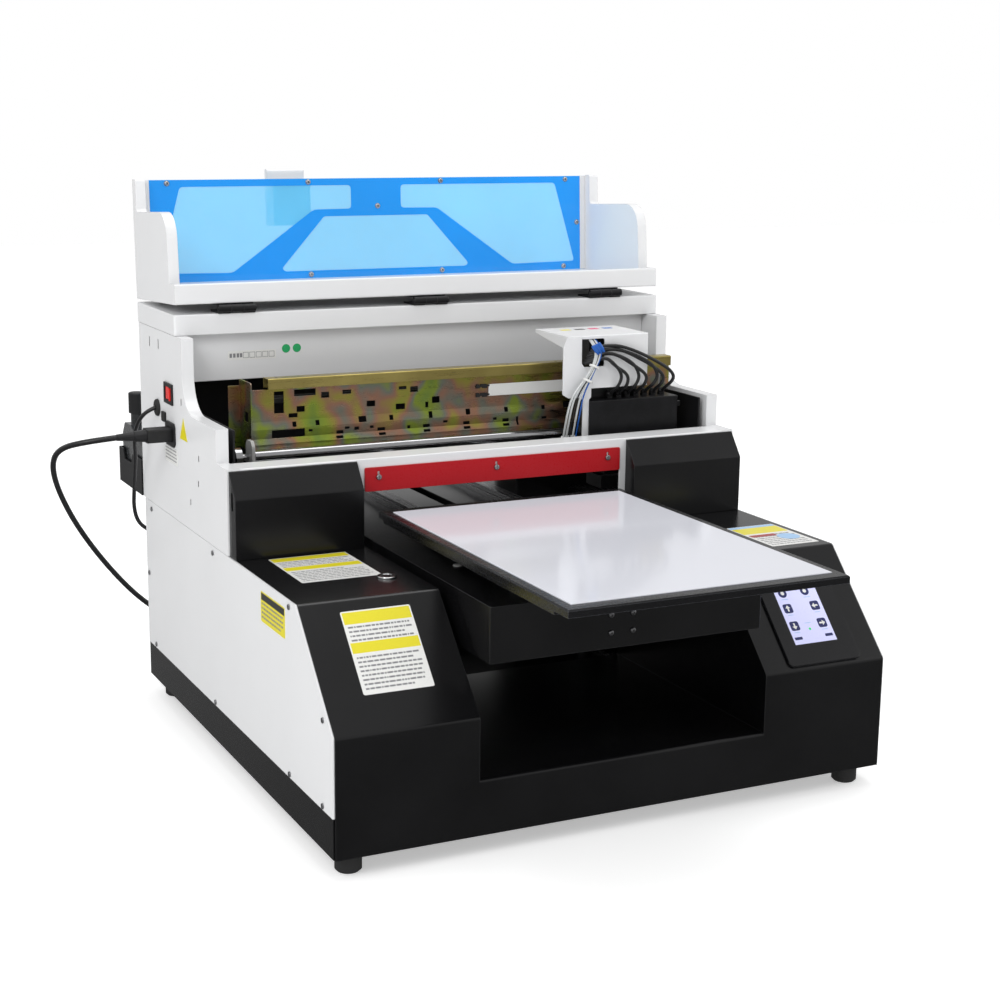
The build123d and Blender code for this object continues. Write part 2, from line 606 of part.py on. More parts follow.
with BuildPart() as lift_frame:
    for y0, y1 in ((385, 415), (565, 595)):
        block(-282, 282, y0, y1, BOX_Z0 - 26, BOX_Z0 - 0.001)
    for side in (-1, 1):
        x0, x1 = sorted((side * 242.0, side * 282.0))
        block(x0, x1, 385, 595, BOX_Z0 - 26, BOX_Z0 - 0.001)
        x = side * SCREW_X
        rod_z(x, SCREW_Y, 150, 230, SCREW_R + RUNNING, Mode.SUBTRACT)
        for y in ROD_Y:
            rod_z(x, y, 150, 230, 6 + RUNNING, Mode.SUBTRACT)
export(lift_frame, "lift_frame")

# lift drive: two screws turned by their own motors, between guide rods
with BuildPart() as lift_guides:
    for side in (-1, 1):
        x = side * SCREW_X
        x0, x1 = sorted((x - side * 18, side * 306.0))
        block(x - 18, x + 18, 394, 586, FOOT_H + 3, FOOT_H + 9)
        block(x0, x1, 394, 586, 234, 240)
        rod_z(x, SCREW_Y, 20, 260, 4 + RUNNING, Mode.SUBTRACT)
        for y in ROD_Y:
            rod_z(x, y, FOOT_H + 3, 240, 6)
export(lift_guides, "lift_guides")

with BuildPart() as lift_motors:
    for x in (-SCREW_X, SCREW_X):
        block(x - 21, x + 21, SCREW_Y - 21, SCREW_Y + 21, FOOT_H + 9.2, 62)
    fillet(lift_motors.edges().filter_by(Axis.Z), radius=4)
    for x in (-SCREW_X, SCREW_X):
        rod_z(x, SCREW_Y, 62, 64, 11)
        rod_z(x, SCREW_Y, 20, 70, 4 + RUNNING, Mode.SUBTRACT)
export(lift_motors, "lift_motors")


def lift_screw(x):
    rod_z(x, SCREW_Y, 64.5, 233, SCREW_R)
    rod_z(x, SCREW_Y, 27, 240, 4)
    # flat at the top, where a key turns it by hand
    block(x + 2.5, x + 5, SCREW_Y - 5, SCREW_Y + 5, 235, 241, Mode.SUBTRACT)


with BuildPart() as lift_screw_left:
    lift_screw(-SCREW_X)
export(lift_screw_left, "lift_screw_left")

with BuildPart() as lift_screw_right:
    lift_screw(SCREW_X)
export(lift_screw_right, "lift_screw_right")

# ---------------------------------------------------------------- platen (moves in Y)
with BuildPart() as platen_frame:
    front_profile(
        [(-158, 291.5), (158, 291.5), (158, 298), (156.5, 299.6), (-156.5, 299.6), (-158, 298)],
        PLATE_Y0 - 15, PLATE_Y0 + PLATE_L + 15,
    )
    # the lower step stands back from the front edge
    block(-154, 154, PLATE_Y0 + 20, PLATE_Y0 + PLATE_L + 11, PLATEN_Z0, 291.5)
    block(-PLATE_X - 0.2, PLATE_X + 0.2, PLATE_Y0 - 0.2, PLATE_Y0 + PLATE_L + 0.2, 297.6, 305, Mode.SUBTRACT)
    block(-138, 138, PLATE_Y0 + 30, PLATE_Y0 + 132, 280, 294.5, Mode.SUBTRACT)
    block(-138, 138, PLATE_Y0 + 292, PLATE_Y0 + PLATE_L - 6, 280, 294.5, Mode.SUBTRACT)
    chamfer(platen_frame.edges().filter_by(Axis.X).group_by(Axis.Y)[0].sort_by(Axis.Z)[-1], length=1.5)
export(platen_frame, "platen_frame")

with BuildPart() as platen_plate:
    block(-PLATE_X, PLATE_X, PLATE_Y0, PLATE_Y0 + PLATE_L, 297.6, PLATE_TOP)
    chamfer(platen_plate.faces().sort_by(Axis.Z)[-1].edges(), length=0.6)
export(platen_plate, "platen_plate")

with BuildPart() as platen_carriage:
    # four bearing blocks on the rails, and the plate that ties them to the platen
    for x in (-RAIL_X, RAIL_X):
        for y in (23, 125):
            front_profile(
                [
                    (x - 16, 266), (x - 8, 266), (x - 8, BOX_Z1 + RAIL_H + 0.5), (x + 8, BOX_Z1 + RAIL_H + 0.5),
                    (x + 8, 266), (x + 16, 266), (x + 16, 282.6), (x - 16, 282.6),
                ],
                y - 18, y + 18,
            )
    block(-95, 95, 5, 146, 282.6, PLATEN_Z0)
    block(-4, 4, 60, 80, 250.0, 282.6)
export(platen_carriage, "platen_carriage")

# ---------------------------------------------------------------- lid (turns about the hinge pins)
with BuildPart() as lid_shell:
    lid_block(-LID_X, LID_X, LID_A0, LID_A1, LID_B0, LID_B1)
    fillet(lid_shell.edges().filter_by(Axis.X), radius=2)
    # hollow between the skins; the inner skin lies lower than the lip round it
    lid_block(-LID_X + 2, LID_X - 2, LID_A0 + 2, LID_A1 + 1, LID_B0 + 2, LID_B1 - 8, Mode.SUBTRACT)
    lid_block(-LID_X + 2, LID_X - 2, LID_A0 + 2, LID_A1 + 1, LID_B1 - 6, LID_B1 + 1, Mode.SUBTRACT)
    for x0 in (-LID_X, LID_X - CHEEK_T):
        lid_profile(
            [(24, 22.5), (28.5, 114), (158, 114), (158, 154), (172, 154), (172, 10), (166, 10), (160, 22.5)],
            x0, x0 + CHEEK_T, radii=[0, 32, 6, 3, 3, 3, 2, 0],
        )
export(lid_shell, "lid_shell")

with BuildPart() as lid_window:
    lid_block(-LID_X + 1, LID_X - 1, 172.2, 175.2, 8, 153)
export(lid_window, "lid_window")

with BuildPart() as lid_handle:
    # a flange on the window, an arm, and a lip that passes in front of the beam when the lid is shut
    lid_profile(
        [
            (175.4, 93), (207, 93), (207, 166), (198.5, 166), (198.5, 104), (179.4, 104), (179.4, 150),
            (175.4, 150),
        ],
        -142, -91, radii=[1, 6, 3.5, 3.5, 4, 4, 1.5, 1.5],
    )
export(lid_handle, "lid_handle")

HINGES = (-253.0, 0.0, 250.0)
with BuildPart() as hinge_leaves:
    for x in HINGES:
        for x0, x1 in ((x - 23, x - 8), (x + 8, x + 23)):
            rod_x(x0, x1, HINGE_Y, HINGE_Z, 4.6)
            block(x0, x1, HINGE_Y, HINGE_Y + 8, COVER_Z1, COVER_Z1 + 2.4)
        block(x - 23, x + 23, HINGE_Y + 6.5, HINGE_Y + 32, COVER_Z1, COVER_Z1 + 2.0)
        # the pin, fixed in both outer knuckles
        rod_x(x - 24.5, x + 24.5, HINGE_Y, HINGE_Z, 2.0)
export(hinge_leaves, "hinge_leaves")

with BuildPart() as lid_hinge_leaves:
    for x in HINGES:
        lid_block(x - 23, x + 23, 7.5, 32, 4.0, 6.0)
        lid_block(x - 7.6, x + 7.6, 0, 9, 2.2, 4.6)
        rod_x(x - 7.6, x + 7.6, HINGE_Y, HINGE_Z, 4.6)
        rod_x(x - 8, x + 8, HINGE_Y, HINGE_Z, 2.0 + RUNNING, Mode.SUBTRACT)
export(lid_hinge_leaves, "lid_hinge_leaves")

# ---------------------------------------------------------------- controls
slope = Vector(0, SLOPE_Y, SLOPE_Z1 - SLOPE_Z0).normalized()
SLOPE_PLANE = Plane(
    origin=(0, py(0), SLOPE_Z0), x_dir=(1, 0, 0), z_dir=Vector(1, 0, 0).cross(slope)
)
with BuildPart() as touchscreen:
    with BuildSketch(SLOPE_PLANE.offset(0.1)) as outline:
        with Locations((251.5, 54)):
            RectangleRounded(96, 100, 7)
    extrude(outline.sketch, amount=3)
    chamfer(touchscreen.faces().sort_by(Axis((0, 0, 0), SLOPE_PLANE.z_dir))[-1].edges(), length=0.9)
    with BuildSketch(SLOPE_PLANE.offset(2.3)) as pocket:
        with Locations((249.5, 66)):
            Rectangle(56, 74)
    extrude(pocket.sketch, amount=2, mode=Mode.SUBTRACT)
export(touchscreen, "touchscreen")

with BuildPart() as touchscreen_display:
    with BuildSketch(SLOPE_PLANE.offset(2.3)) as outline:
        with Locations((249.5, 66)):
            Rectangle(55.6, 73.6)
    extrude(outline.sketch, amount=0.5)
export(touchscreen_display, "touchscreen_display")

with BuildPart() as start_button_ring:
    rod_z(-203, 168, DECK_Z + 0.02, DECK_Z + 2.2, 10.5)
    fillet(start_button_ring.faces().sort_by(Axis.Z)[-1].edges(), radius=0.9)
    rod_z(-203, 168, 236, DECK_Z + 0.02, 8.0)
    rod_z(-203, 168, 238, DECK_Z + 3, 6.4, Mode.SUBTRACT)
export(start_button_ring, "start_button_ring")

with BuildPart() as start_button:
    rod_z(-203, 168, 242.5, DECK_Z + 1.8, 6.1)
    fillet(start_button.faces().sort_by(Axis.Z)[-1].edges(), radius=0.5)
export(start_button, "start_button")

SWITCH_Y, SWITCH_Z = 539.0, 409.5
with BuildPart() as switch_frame:
    block(-332.0, -330, SWITCH_Y - 17.5, SWITCH_Y + 17.5, SWITCH_Z - 12.5, SWITCH_Z + 12.5)
    block(-330, -312, SWITCH_Y - 14.8, SWITCH_Y + 14.8, SWITCH_Z - 9.8, SWITCH_Z + 9.8)
    fillet(switch_frame.edges().filter_by(Axis.X).group_by(SortBy.LENGTH)[0], radius=1)
    block(-334, -316, SWITCH_Y - 13, SWITCH_Y + 13, SWITCH_Z - 8, SWITCH_Z + 8, Mode.SUBTRACT)
    rod_z(-327.5, SWITCH_Y, SWITCH_Z - 9.8, SWITCH_Z - 8, 1.6)
    for z0, z1 in ((SWITCH_Z - 8, SWITCH_Z - 6.6), (SWITCH_Z + 6.6, SWITCH_Z + 8)):
        with Locations((-326.0, py(SWITCH_Y), (z0 + z1) / 2)):
            Cylinder(1.2, z1 - z0)
export(switch_frame, "switch_frame")

with BuildPart() as power_rocker:
    # long axis along the depth; it tips about a vertical axis
    plan_profile(
        [
            (-324.0, SWITCH_Y - 11.4), (-324.0, SWITCH_Y + 11.4), (-331.2, SWITCH_Y + 11.4),
            (-330.0, SWITCH_Y), (-334.0, SWITCH_Y - 11.4),
        ],
        SWITCH_Z - 7.6, SWITCH_Z + 7.6, radii=[1, 1, 0.8, 4, 0.8],
    )
    rod_z(-326.0, SWITCH_Y, SWITCH_Z - 8, SWITCH_Z + 8, 1.2 + RUNNING, Mode.SUBTRACT)
export(power_rocker, "power_rocker")

with BuildPart() as mains_inlet:
    side_profile(
        [(515, 351), (519, 346.5), (549, 346.5), (553, 351), (553, 371), (549, 375.5), (519, 375.5), (515, 371)],
        -332.2, -330, radii=2,
    )
    block(-330, -308.3, 520.3, 547.7, 350.3, 371.7)
    block(-334, -312, 522.5, 545.5, 352.5, 369.5, Mode.SUBTRACT)
    for y in (529, 534, 539):
        block(-328, -312, y - 0.8, y + 0.8, 359, 363)
export(mains_inlet, "mains_inlet")

with BuildPart() as cable_grommets:
    rod_x(-333, -313, 589, 385, 7.4)
    rod_x(-333.5, -330.1, 589, 385, 10.5)
    fillet(cable_grommets.faces().sort_by(Axis.X)[0].edges(), radius=2)
    rod_x(-336, -310, 589, 385, LINK_D / 2 + 0.05, Mode.SUBTRACT)
    # gland in the lower rear panel, where the link cable ends
    with Locations((-300, py(BODY_DEPTH - 2), 200)):
        Cylinder(5.4, 6, rotation=(90, 0, 0))
    rod_y(-300, BODY_DEPTH - 0.9, BODY_DEPTH + 9, 200, 8.5)
    fillet(cable_grommets.faces().sort_by(Axis.Y)[-1].edges(), radius=2)
    rod_y(-300, BODY_DEPTH - 8, BODY_DEPTH + 12, 200, LINK_D / 2 + 0.05, Mode.SUBTRACT)
export(cable_grommets, "cable_grommets")

# ---------------------------------------------------------------- ink supply
with BuildPart() as ink_rack:
    block(-330, -236, 676, 786, 257, 303)
    block(-328, -238, 678, 784, 259, 310, Mode.SUBTRACT)
    side_profile([(716, 310), (726, 290), (760, 290), (770, 310)], -332, -234, Mode.SUBTRACT, radii=[0, 4, 4, 0])
    for x in (-304, -250):
        block(x - 7, x + 7, UPPER_BACK - 1.5, 676, 262, 300)
export(ink_rack, "ink_rack")

BOTTLE_X = (-313.0, -284.0, -255.0)
BOTTLE_Y = 754.0
with BuildPart() as ink_bottles:
    for x in BOTTLE_X:
        side_profile(
            [(682, 259.2), (780, 259.2), (780, 322), (768, 338), (740, 338), (682, 318)],
            x - 13, x + 13, radii=[3, 3, 8, 8, 8, 8],
        )
        rod_z(x, BOTTLE_Y, 336, 352, 8)
export(ink_bottles, "ink_bottles")


with BuildPart() as bottle_caps:
    for x in BOTTLE_X:
        rod_z(x, BOTTLE_Y, 352.0, 379, 10.6)
    fillet(bottle_caps.faces().group_by(Axis.Z)[-1].edges(), radius=2)
export(bottle_caps, "bottle_caps")

# ---------------------------------------------------------------- electrics in the pods
with BuildPart() as power_supply:
    block(-312, -200, 60, 260, FOOT_H + 3, 72)
    fillet(power_supply.edges().filter_by(Axis.Z), radius=1.5)
    with BuildSketch(Plane.XY.offset(73)) as vents:
        with Locations((-256, py(160))):
            with GridLocations(14, 20, 6, 8):
                SlotOverall(10, 4)
    extrude(vents.sketch, amount=-3, mode=Mode.SUBTRACT)
export(power_supply, "power_supply")

with BuildPart() as main_board:
    block(200, 312, 60, 250, 36, 37.6)
    for x in (205, 307):
        for y in (66, 244):
            rod_z(x, y, FOOT_H + 3, 36, 3)
    block(225, 255, 100, 130, 37.6, 46)
    block(270, 300, 90, 180, 37.6, 42)
    block(206, 216, 150, 230, 37.6, 48)
export(main_board, "main_board")

# ---------------------------------------------------------------- cords
with BuildPart() as lead_connector:
    # mains connector in the inlet, with its tapered strain relief
    block(-362, -332.3, 522.8, 545.2, 352.8, 369.2)
    fillet(lead_connector.edges().filter_by(Axis.X), radius=2.5)
    block(-332.4, -314, 523.5, 544.5, 353.5, 368.5)
    block(-333, -313, 527.9, 540.1, 358.4, 363.6, Mode.SUBTRACT)
    with BuildSketch(Plane.YZ.offset(-361)) as wide:
        with Locations((py(534), 361)):
            RectangleRounded(19, 14, 5)
    with BuildSketch(Plane.YZ.offset(-376)) as narrow:
        with Locations((py(534), 361)):
            RectangleRounded(13, 12, 5)
    loft([wide.sketch, narrow.sketch])
    with BuildSketch(Plane.YZ.offset(-376)) as start:
        with Locations((py(534), 361)):
            Circle(5.6)
    with BuildSketch(Plane.YZ.offset(-397)) as end:
        with Locations((py(534), 361)):
            Circle(3.9)
    loft([start.sketch, end.sketch])
export(lead_connector, "lead_connector")

COIL_TOP = LEAD_D / 2 + 0.2 + LEAD_TURNS * LEAD_D
LEAD_ROUTE = [
    (-397, 534, 361), (-437, 537, 358), (-458, 573, 345), (-455, 628, 316), (-435, 690, 270),
    (-400, 745, 208), (-352, 785, 140), (-300, 806, 80), (-248, 810, 43), (-203, 803, 29),
    (LEAD_COIL_X, LEAD_COIL_Y + LEAD_COIL_R, COIL_TOP),
]
with BuildPart() as mains_lead:
    add(cord_tube(LEAD_ROUTE, LEAD_D, "mains lead"))
export(mains_lead, "mains_lead")

with BuildPart() as mains_lead_coil:
    rod_z(LEAD_COIL_X, LEAD_COIL_Y, 0.2, COIL_TOP + LEAD_D / 2, LEAD_COIL_R + LEAD_D / 2)
    rod_z(LEAD_COIL_X, LEAD_COIL_Y, -1, 40, LEAD_COIL_R - LEAD_D / 2, Mode.SUBTRACT)
export(mains_lead_coil, "mains_lead_coil")

with BuildPart() as mains_plug:
    # lies beside the coil, in line with the end of its lowest turn
    back = Plane(
        origin=(LEAD_COIL_X, py(LEAD_COIL_Y + LEAD_COIL_R), LEAD_D / 2 + 0.2),
        x_dir=(0, 1, 0), z_dir=(36, 0, 7.3),
    )
    with BuildSketch(back) as start:
        Circle(LEAD_D / 2)
    with BuildSketch(back.offset(34)) as middle:
        Circle(6)
    loft([start.sketch, middle.sketch])
    grip = Plane(origin=back.from_local_coords((0, 0, 33)), x_dir=(0, 1, 0), z_dir=(1, 0, 0))
    with BuildSketch(grip) as body:
        RectangleRounded(24, 20, 5)
    extrude(body.sketch, amount=30)
    with BuildSketch(grip.offset(30)) as pins:
        with Locations((-6.35, 0), (6.35, 0)):
            Rectangle(1.6, 6.3)
    extrude(pins.sketch, amount=17)
export(mains_plug, "mains_plug")

LINK_ROUTE = [
    (-333.5, 589, 385), (-346, 592, 380), (-354, 603, 363), (-353, 619, 341), (-348, 634, 320),
    (-345, 650, 296), (-343, 666, 268), (-340, 682, 240), (-331, 696, 217), (-314, 703, 203),
    (-302, 691, 200), (-300, 670, 200),
]
with BuildPart() as link_cable:
    add(cord_tube(LINK_ROUTE, LINK_D, "link cable"))
export(link_cable, "link_cable")
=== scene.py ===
import math
import random

import bmesh
import bpy
from mathutils import Matrix, Vector


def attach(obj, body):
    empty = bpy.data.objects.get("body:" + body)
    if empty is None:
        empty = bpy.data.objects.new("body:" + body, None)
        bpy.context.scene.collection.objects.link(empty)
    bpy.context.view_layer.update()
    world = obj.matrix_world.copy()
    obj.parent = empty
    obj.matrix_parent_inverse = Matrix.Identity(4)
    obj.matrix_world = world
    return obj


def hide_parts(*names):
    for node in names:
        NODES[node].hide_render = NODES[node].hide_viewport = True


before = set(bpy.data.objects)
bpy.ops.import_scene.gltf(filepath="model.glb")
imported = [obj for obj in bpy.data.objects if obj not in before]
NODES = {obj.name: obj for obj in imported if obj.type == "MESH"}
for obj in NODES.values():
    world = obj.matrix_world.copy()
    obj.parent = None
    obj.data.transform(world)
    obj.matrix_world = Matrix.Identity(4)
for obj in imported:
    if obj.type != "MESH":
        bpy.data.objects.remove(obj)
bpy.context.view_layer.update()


def P(x, depth, z):
    """Machine millimetres (depth behind the front face of the lower body) to metres."""
    return Vector((x / 1000, (depth - 316.65) / 1000, z / 1000))


# ---------------------------------------------------------------- camera
YAW, PITCH, ROLL = math.radians(25.25), math.radians(12.018), math.radians(0.449)
forward = Vector((math.sin(YAW) * math.cos(PITCH), math.cos(YAW) * math.cos(PITCH), -math.sin(PITCH)))
right = Vector((math.cos(YAW), -math.sin(YAW), 0))
up = right.cross(forward)
r2 = right * math.cos(ROLL) + up * math.sin(ROLL)
u2 = up * math.cos(ROLL) - right * math.sin(ROLL)
cam_data = bpy.data.cameras.new("camera")
cam_data.sensor_width = 36
cam_data.lens = 64.79
cam_data.shift_x = 0.0377
cam_data.shift_y = -0.0098
cam_data.clip_end = 50
cam = bpy.data.objects.new("camera", cam_data)
bpy.context.scene.collection.objects.link(cam)
cam.matrix_world = Matrix((
    (r2.x, u2.x, -forward.x, -0.9224),
    (r2.y, u2.y, -forward.y, -1.86115),
    (r2.z, u2.z, -forward.z, 0.7485),
    (0, 0, 0, 1),
))
bpy.context.scene.camera = cam


# ---------------------------------------------------------------- materials
def new_mat(name):
    m = bpy.data.materials.new(name)
    m.use_nodes = True
    nt = m.node_tree
    return m, nt, nt.nodes["Principled BSDF"]


def put(bsdf, **values):
    names = {
        "rough": "Roughness", "metal": "Metallic", "coat": "Coat Weight", "coat_rough": "Coat Roughness",
        "ior": "IOR", "trans": "Transmission Weight", "alpha": "Alpha", "spec": "Specular IOR Level",
        "emit": "Emission Strength", "aniso": "Anisotropic",
    }
    for k, v in values.items():
        bsdf.inputs[names[k]].default_value = v


def noise(nt, scale, detail=3.0, rough=0.5, stretch=None):
    coord = nt.nodes.new("ShaderNodeTexCoord")
    tex = nt.nodes.new("ShaderNodeTexNoise")
    tex.inputs["Scale"].default_value = scale
    tex.inputs["Detail"].default_value = detail
    tex.inputs["Roughness"].default_value = rough
    if stretch:
        mapping = nt.nodes.new("ShaderNodeMapping")
        mapping.inputs["Scale"].default_value = stretch
        nt.links.new(coord.outputs["Object"], mapping.inputs["Vector"])
        nt.links.new(mapping.outputs["Vector"], tex.inputs["Vector"])
    else:
        nt.links.new(coord.outputs["Object"], tex.inputs["Vector"])
    return tex


def ramp(nt, source, stops):
    r = nt.nodes.new("ShaderNodeValToRGB")
    el = r.color_ramp.elements
    while len(el) < len(stops):
        el.new(0.5)
    for e, (pos, col) in zip(el, stops):
        e.position = pos
        e.color = (*col, 1) if len(col) == 3 else col
    nt.links.new(source, r.inputs["Fac"])
    return r


def span(nt, source, low, high):
    m = nt.nodes.new("ShaderNodeMapRange")
    m.inputs["From Min"].default_value = 0.3
    m.inputs["From Max"].default_value = 0.7
    m.inputs["To Min"].default_value = low
    m.inputs["To Max"].default_value = high
    nt.links.new(source, m.inputs["Value"])
    return m.outputs["Result"]


def surface(name, color, rough=0.3, metal=0.0, coat=0.0, coat_rough=0.1, vary=0.06, rough_vary=0.08,
            grain=900, grain_depth=0.02, cloud=9, stretch=None, edge=0.0012, spec=0.5, aniso=0.0, painted_edge_highlight=None):
    """Painted, plated or moulded surface: cloudy colour, uneven gloss, fine grain and softened edges."""
    m, nt, bsdf = new_mat(name)
    put(bsdf, metal=metal, coat=coat, coat_rough=coat_rough, spec=spec, aniso=aniso)
    clouds = noise(nt, cloud, 5, 0.55)
    dark = tuple(max(0, c * (1 - vary)) for c in color)
    light = tuple(min(1, c * (1 + vary) + 0.002) for c in color)
    colour = ramp(nt, clouds.outputs["Fac"], [(0.32, dark), (0.68, light)])
    out = colour.outputs["Color"]
    fine = noise(nt, grain, 3, 0.6, stretch)
    if painted_edge_highlight:
        # painted highlight: a thin paler line along every edge, lighter than the paint
        geo = nt.nodes.new("ShaderNodeNewGeometry")
        soft = nt.nodes.new("ShaderNodeBevel")
        soft.samples = 4
        soft.inputs["Radius"].default_value = edge * 1.2
        dot = nt.nodes.new("ShaderNodeVectorMath")
        dot.operation = "DOT_PRODUCT"
        nt.links.new(geo.outputs["Normal"], dot.inputs[0])
        nt.links.new(soft.outputs["Normal"], dot.inputs[1])
        edge_highlight_mask = ramp(nt, dot.outputs["Value"], [(0.80, (1, 1, 1)), (0.985, (0, 0, 0))])
        mix = nt.nodes.new("ShaderNodeMix")
        mix.data_type = "RGBA"
        nt.links.new(edge_highlight_mask.outputs["Color"], mix.inputs["Factor"])
        nt.links.new(out, mix.inputs["A"])
        mix.inputs["B"].default_value = (*painted_edge_highlight, 1)
        out = mix.outputs["Result"]
    nt.links.new(out, bsdf.inputs["Base Color"])
    nt.links.new(span(nt, fine.outputs["Fac"], max(0.02, rough - rough_vary), min(1, rough + rough_vary)), bsdf.inputs["Roughness"])
    bump = nt.nodes.new("ShaderNodeBump")
    bump.inputs["Strength"].default_value = grain_depth * 10
    bump.inputs["Distance"].default_value = 0.0001
    nt.links.new(fine.outputs["Fac"], bump.inputs["Height"])
    if edge:
        bevel = nt.nodes.new("ShaderNodeBevel")
        bevel.samples = 4
        bevel.inputs["Radius"].default_value = edge
        nt.links.new(bevel.outputs["Normal"], bump.inputs["Normal"])
    nt.links.new(bump.outputs["Normal"], bsdf.inputs["Normal"])
    return m


def flat(name, color, rough=0.45, coat=0.0, emit=0.0):
    """Printed ink or a thin sticker, with the slight mottle of print."""
    m, nt, bsdf = new_mat(name)
    put(bsdf, coat=coat)
    print_noise = noise(nt, 1400, 2, 0.5)
    c = ramp(nt, print_noise.outputs["Fac"], [(0.3, tuple(x * 0.94 for x in color)), (0.7, tuple(min(1, x * 1.03) for x in color))])
    nt.links.new(c.outputs["Color"], bsdf.inputs["Base Color"])
    nt.links.new(span(nt, print_noise.outputs["Fac"], rough - 0.06, rough + 0.06), bsdf.inputs["Roughness"])
    if emit:
        nt.links.new(c.outputs["Color"], bsdf.inputs["Emission Color"])
        bsdf.inputs["Emission Strength"].default_value = emit
    return m


M = {}
M["white"] = surface("white_powder_coat", (0.78, 0.785, 0.795), 0.26, coat=0.2, coat_rough=0.12, vary=0.010, grain=900, grain_depth=0.001, rough_vary=0.006, painted_edge_highlight=(0.84, 0.84, 0.85))
M["black"] = surface("black_gloss_coat", (0.0035, 0.0035, 0.004), 0.24, vary=0.15, grain=700, grain_depth=0.001, rough_vary=0.012, spec=0.36, painted_edge_highlight=(0.03, 0.03, 0.032))
M["black_satin"] = surface("black_satin_sheet", (0.006, 0.006, 0.007), 0.42, vary=0.2, grain=700, grain_depth=0.012, spec=0.28, painted_edge_highlight=(0.04, 0.04, 0.042))
M["red"] = surface("red_gloss_paint", (0.45, 0.002, 0.008), 0.28, coat=0.0, vary=0.03, grain=700, grain_depth=0.001, rough_vary=0.01, spec=0.26, painted_edge_highlight=(0.6, 0.05, 0.05))
M["chrome_dark"] = surface("dark_chrome_roller", (0.40, 0.40, 0.41), 0.13, metal=1, vary=0.1, grain=240, stretch=(0.04, 1, 1), grain_depth=0.02, edge=0)
M["chrome"] = surface("button_chrome", (0.72, 0.72, 0.73), 0.12, metal=1, vary=0.05, grain=500, grain_depth=0.01, edge=0.0004)
M["steel"] = surface("ground_steel", (0.46, 0.46, 0.47), 0.27, metal=1, vary=0.08, grain=500, stretch=(1, 0.03, 1), grain_depth=0.03, edge=0.0004, aniso=0.3)
M["screw"] = surface("fastener_steel", (0.30, 0.30, 0.31), 0.3, metal=1, vary=0.12, grain=900, grain_depth=0.02, edge=0.0003)
M["alu"] = surface("machined_aluminium", (0.58, 0.59, 0.6), 0.34, metal=1, vary=0.06, grain=420, stretch=(1, 0.05, 1), grain_depth=0.03, edge=0.0005)
M["gunmetal"] = surface("gunmetal_platen_frame", (0.006, 0.006, 0.007), 0.27, metal=0.2, vary=0.12, grain=520, stretch=(0.1, 1, 1), grain_depth=0.006, rough_vary=0.02, edge=0.0007, spec=0.34, painted_edge_highlight=(0.12, 0.125, 0.14))
M["black_alu"] = surface("black_anodised", (0.02, 0.02, 0.022), 0.38, metal=0.6, vary=0.15, grain=700, grain_depth=0.03, edge=0.0005)
M["plastic"] = surface("black_moulded_plastic", (0.010, 0.010, 0.011), 0.48, vary=0.2, grain=1500, grain_depth=0.06, spec=0.4, edge=0.0006)
M["plastic_gloss"] = surface("black_gloss_plastic", (0.005, 0.005, 0.006), 0.16, vary=0.2, grain=700, grain_depth=0.006, rough_vary=0.04, spec=0.4, edge=0.0007, painted_edge_highlight=(0.03, 0.03, 0.03))
M["grey_plastic"] = surface("grey_moulded_plastic", (0.42, 0.42, 0.41), 0.42, vary=0.06, grain=1200, grain_depth=0.05, edge=0.0006)
M["damper"] = surface("damper_housing", (0.004, 0.004, 0.005), 0.40, vary=0.3, cloud=60, grain=500, grain_depth=0.04, spec=0.26, edge=0.001)
M["rubber"] = surface("foot_rubber", (0.018, 0.018, 0.018), 0.72, vary=0.25, grain=1300, grain_depth=0.12, edge=0.0006)
M["cord"] = surface("cord_pvc", (0.012, 0.012, 0.013), 0.38, vary=0.2, grain=1700, grain_depth=0.05, edge=0)
M["rocker"] = surface("lit_red_rocker", (0.75, 0.02, 0.015), 0.2, coat=0.4, vary=0.05, grain=700, grain_depth=0.01, edge=0.0004)
M["bottle"] = surface("smoked_bottle", (0.03, 0.032, 0.034), 0.2, coat=0.3, vary=0.35, cloud=30, grain=400, grain_depth=0.05, edge=0.002)
M["board"] = surface("circuit_board", (0.012, 0.11, 0.05), 0.4, vary=0.3, cloud=160, grain=500, grain_depth=0.05)
M["white_cable"] = surface("white_ribbon", (0.8, 0.8, 0.78), 0.45, vary=0.05, grain=600, stretch=(0.02, 1, 40), grain_depth=0.08, edge=0)
M["plate"] = surface("white_platen_plate", (0.70, 0.71, 0.77), 0.13, coat=0.15, coat_rough=0.05, vary=0.012, cloud=4, grain=220, grain_depth=0.004, rough_vary=0.03, edge=0.0006, painted_edge_highlight=(0.85, 0.86, 0.88))
M["lavender"] = flat("display_lavender", (0.58, 0.59, 0.86), 0.2, coat=0.3, emit=0.3)
M["navy"] = flat("display_navy", (0.02, 0.025, 0.12), 0.25)
M["green_dot"] = flat("display_green", (0.05, 0.6, 0.2), 0.25, emit=0.3)
M["label_white"] = flat("label_white", (0.80, 0.80, 0.78), 0.32, coat=0.3)
M["label_yellow"] = flat("label_yellow", (0.76, 0.67, 0.015), 0.34, coat=0.1)
M["handle_white"] = surface("white_handle_plastic", (0.80, 0.80, 0.81), 0.3, vary=0.015, grain=900, grain_depth=0.004, rough_vary=0.02, edge=0.0012)
M["plated_edge"] = surface("plated_fold_edge", (0.60, 0.24, 0.05), 0.3, metal=1, vary=0.15, cloud=30, grain=500, grain_depth=0.01, edge=0.0003)
M["label_black"] = flat("label_black", (0.02, 0.02, 0.02), 0.35, coat=0.2)
M["ink_grey"] = flat("label_print", (0.22, 0.22, 0.23), 0.4)
M["ink_blue"] = flat("label_pale_blue", (0.35, 0.55, 0.8), 0.4)
M["sticker_green"] = flat("sticker_green", (0.01, 0.42, 0.13), 0.3, coat=0.3)
M["sticker_magenta"] = flat("sticker_magenta", (0.75, 0.02, 0.16), 0.3)
M["sticker_blue"] = flat("sticker_blue", (0.01, 0.13, 0.5), 0.3)
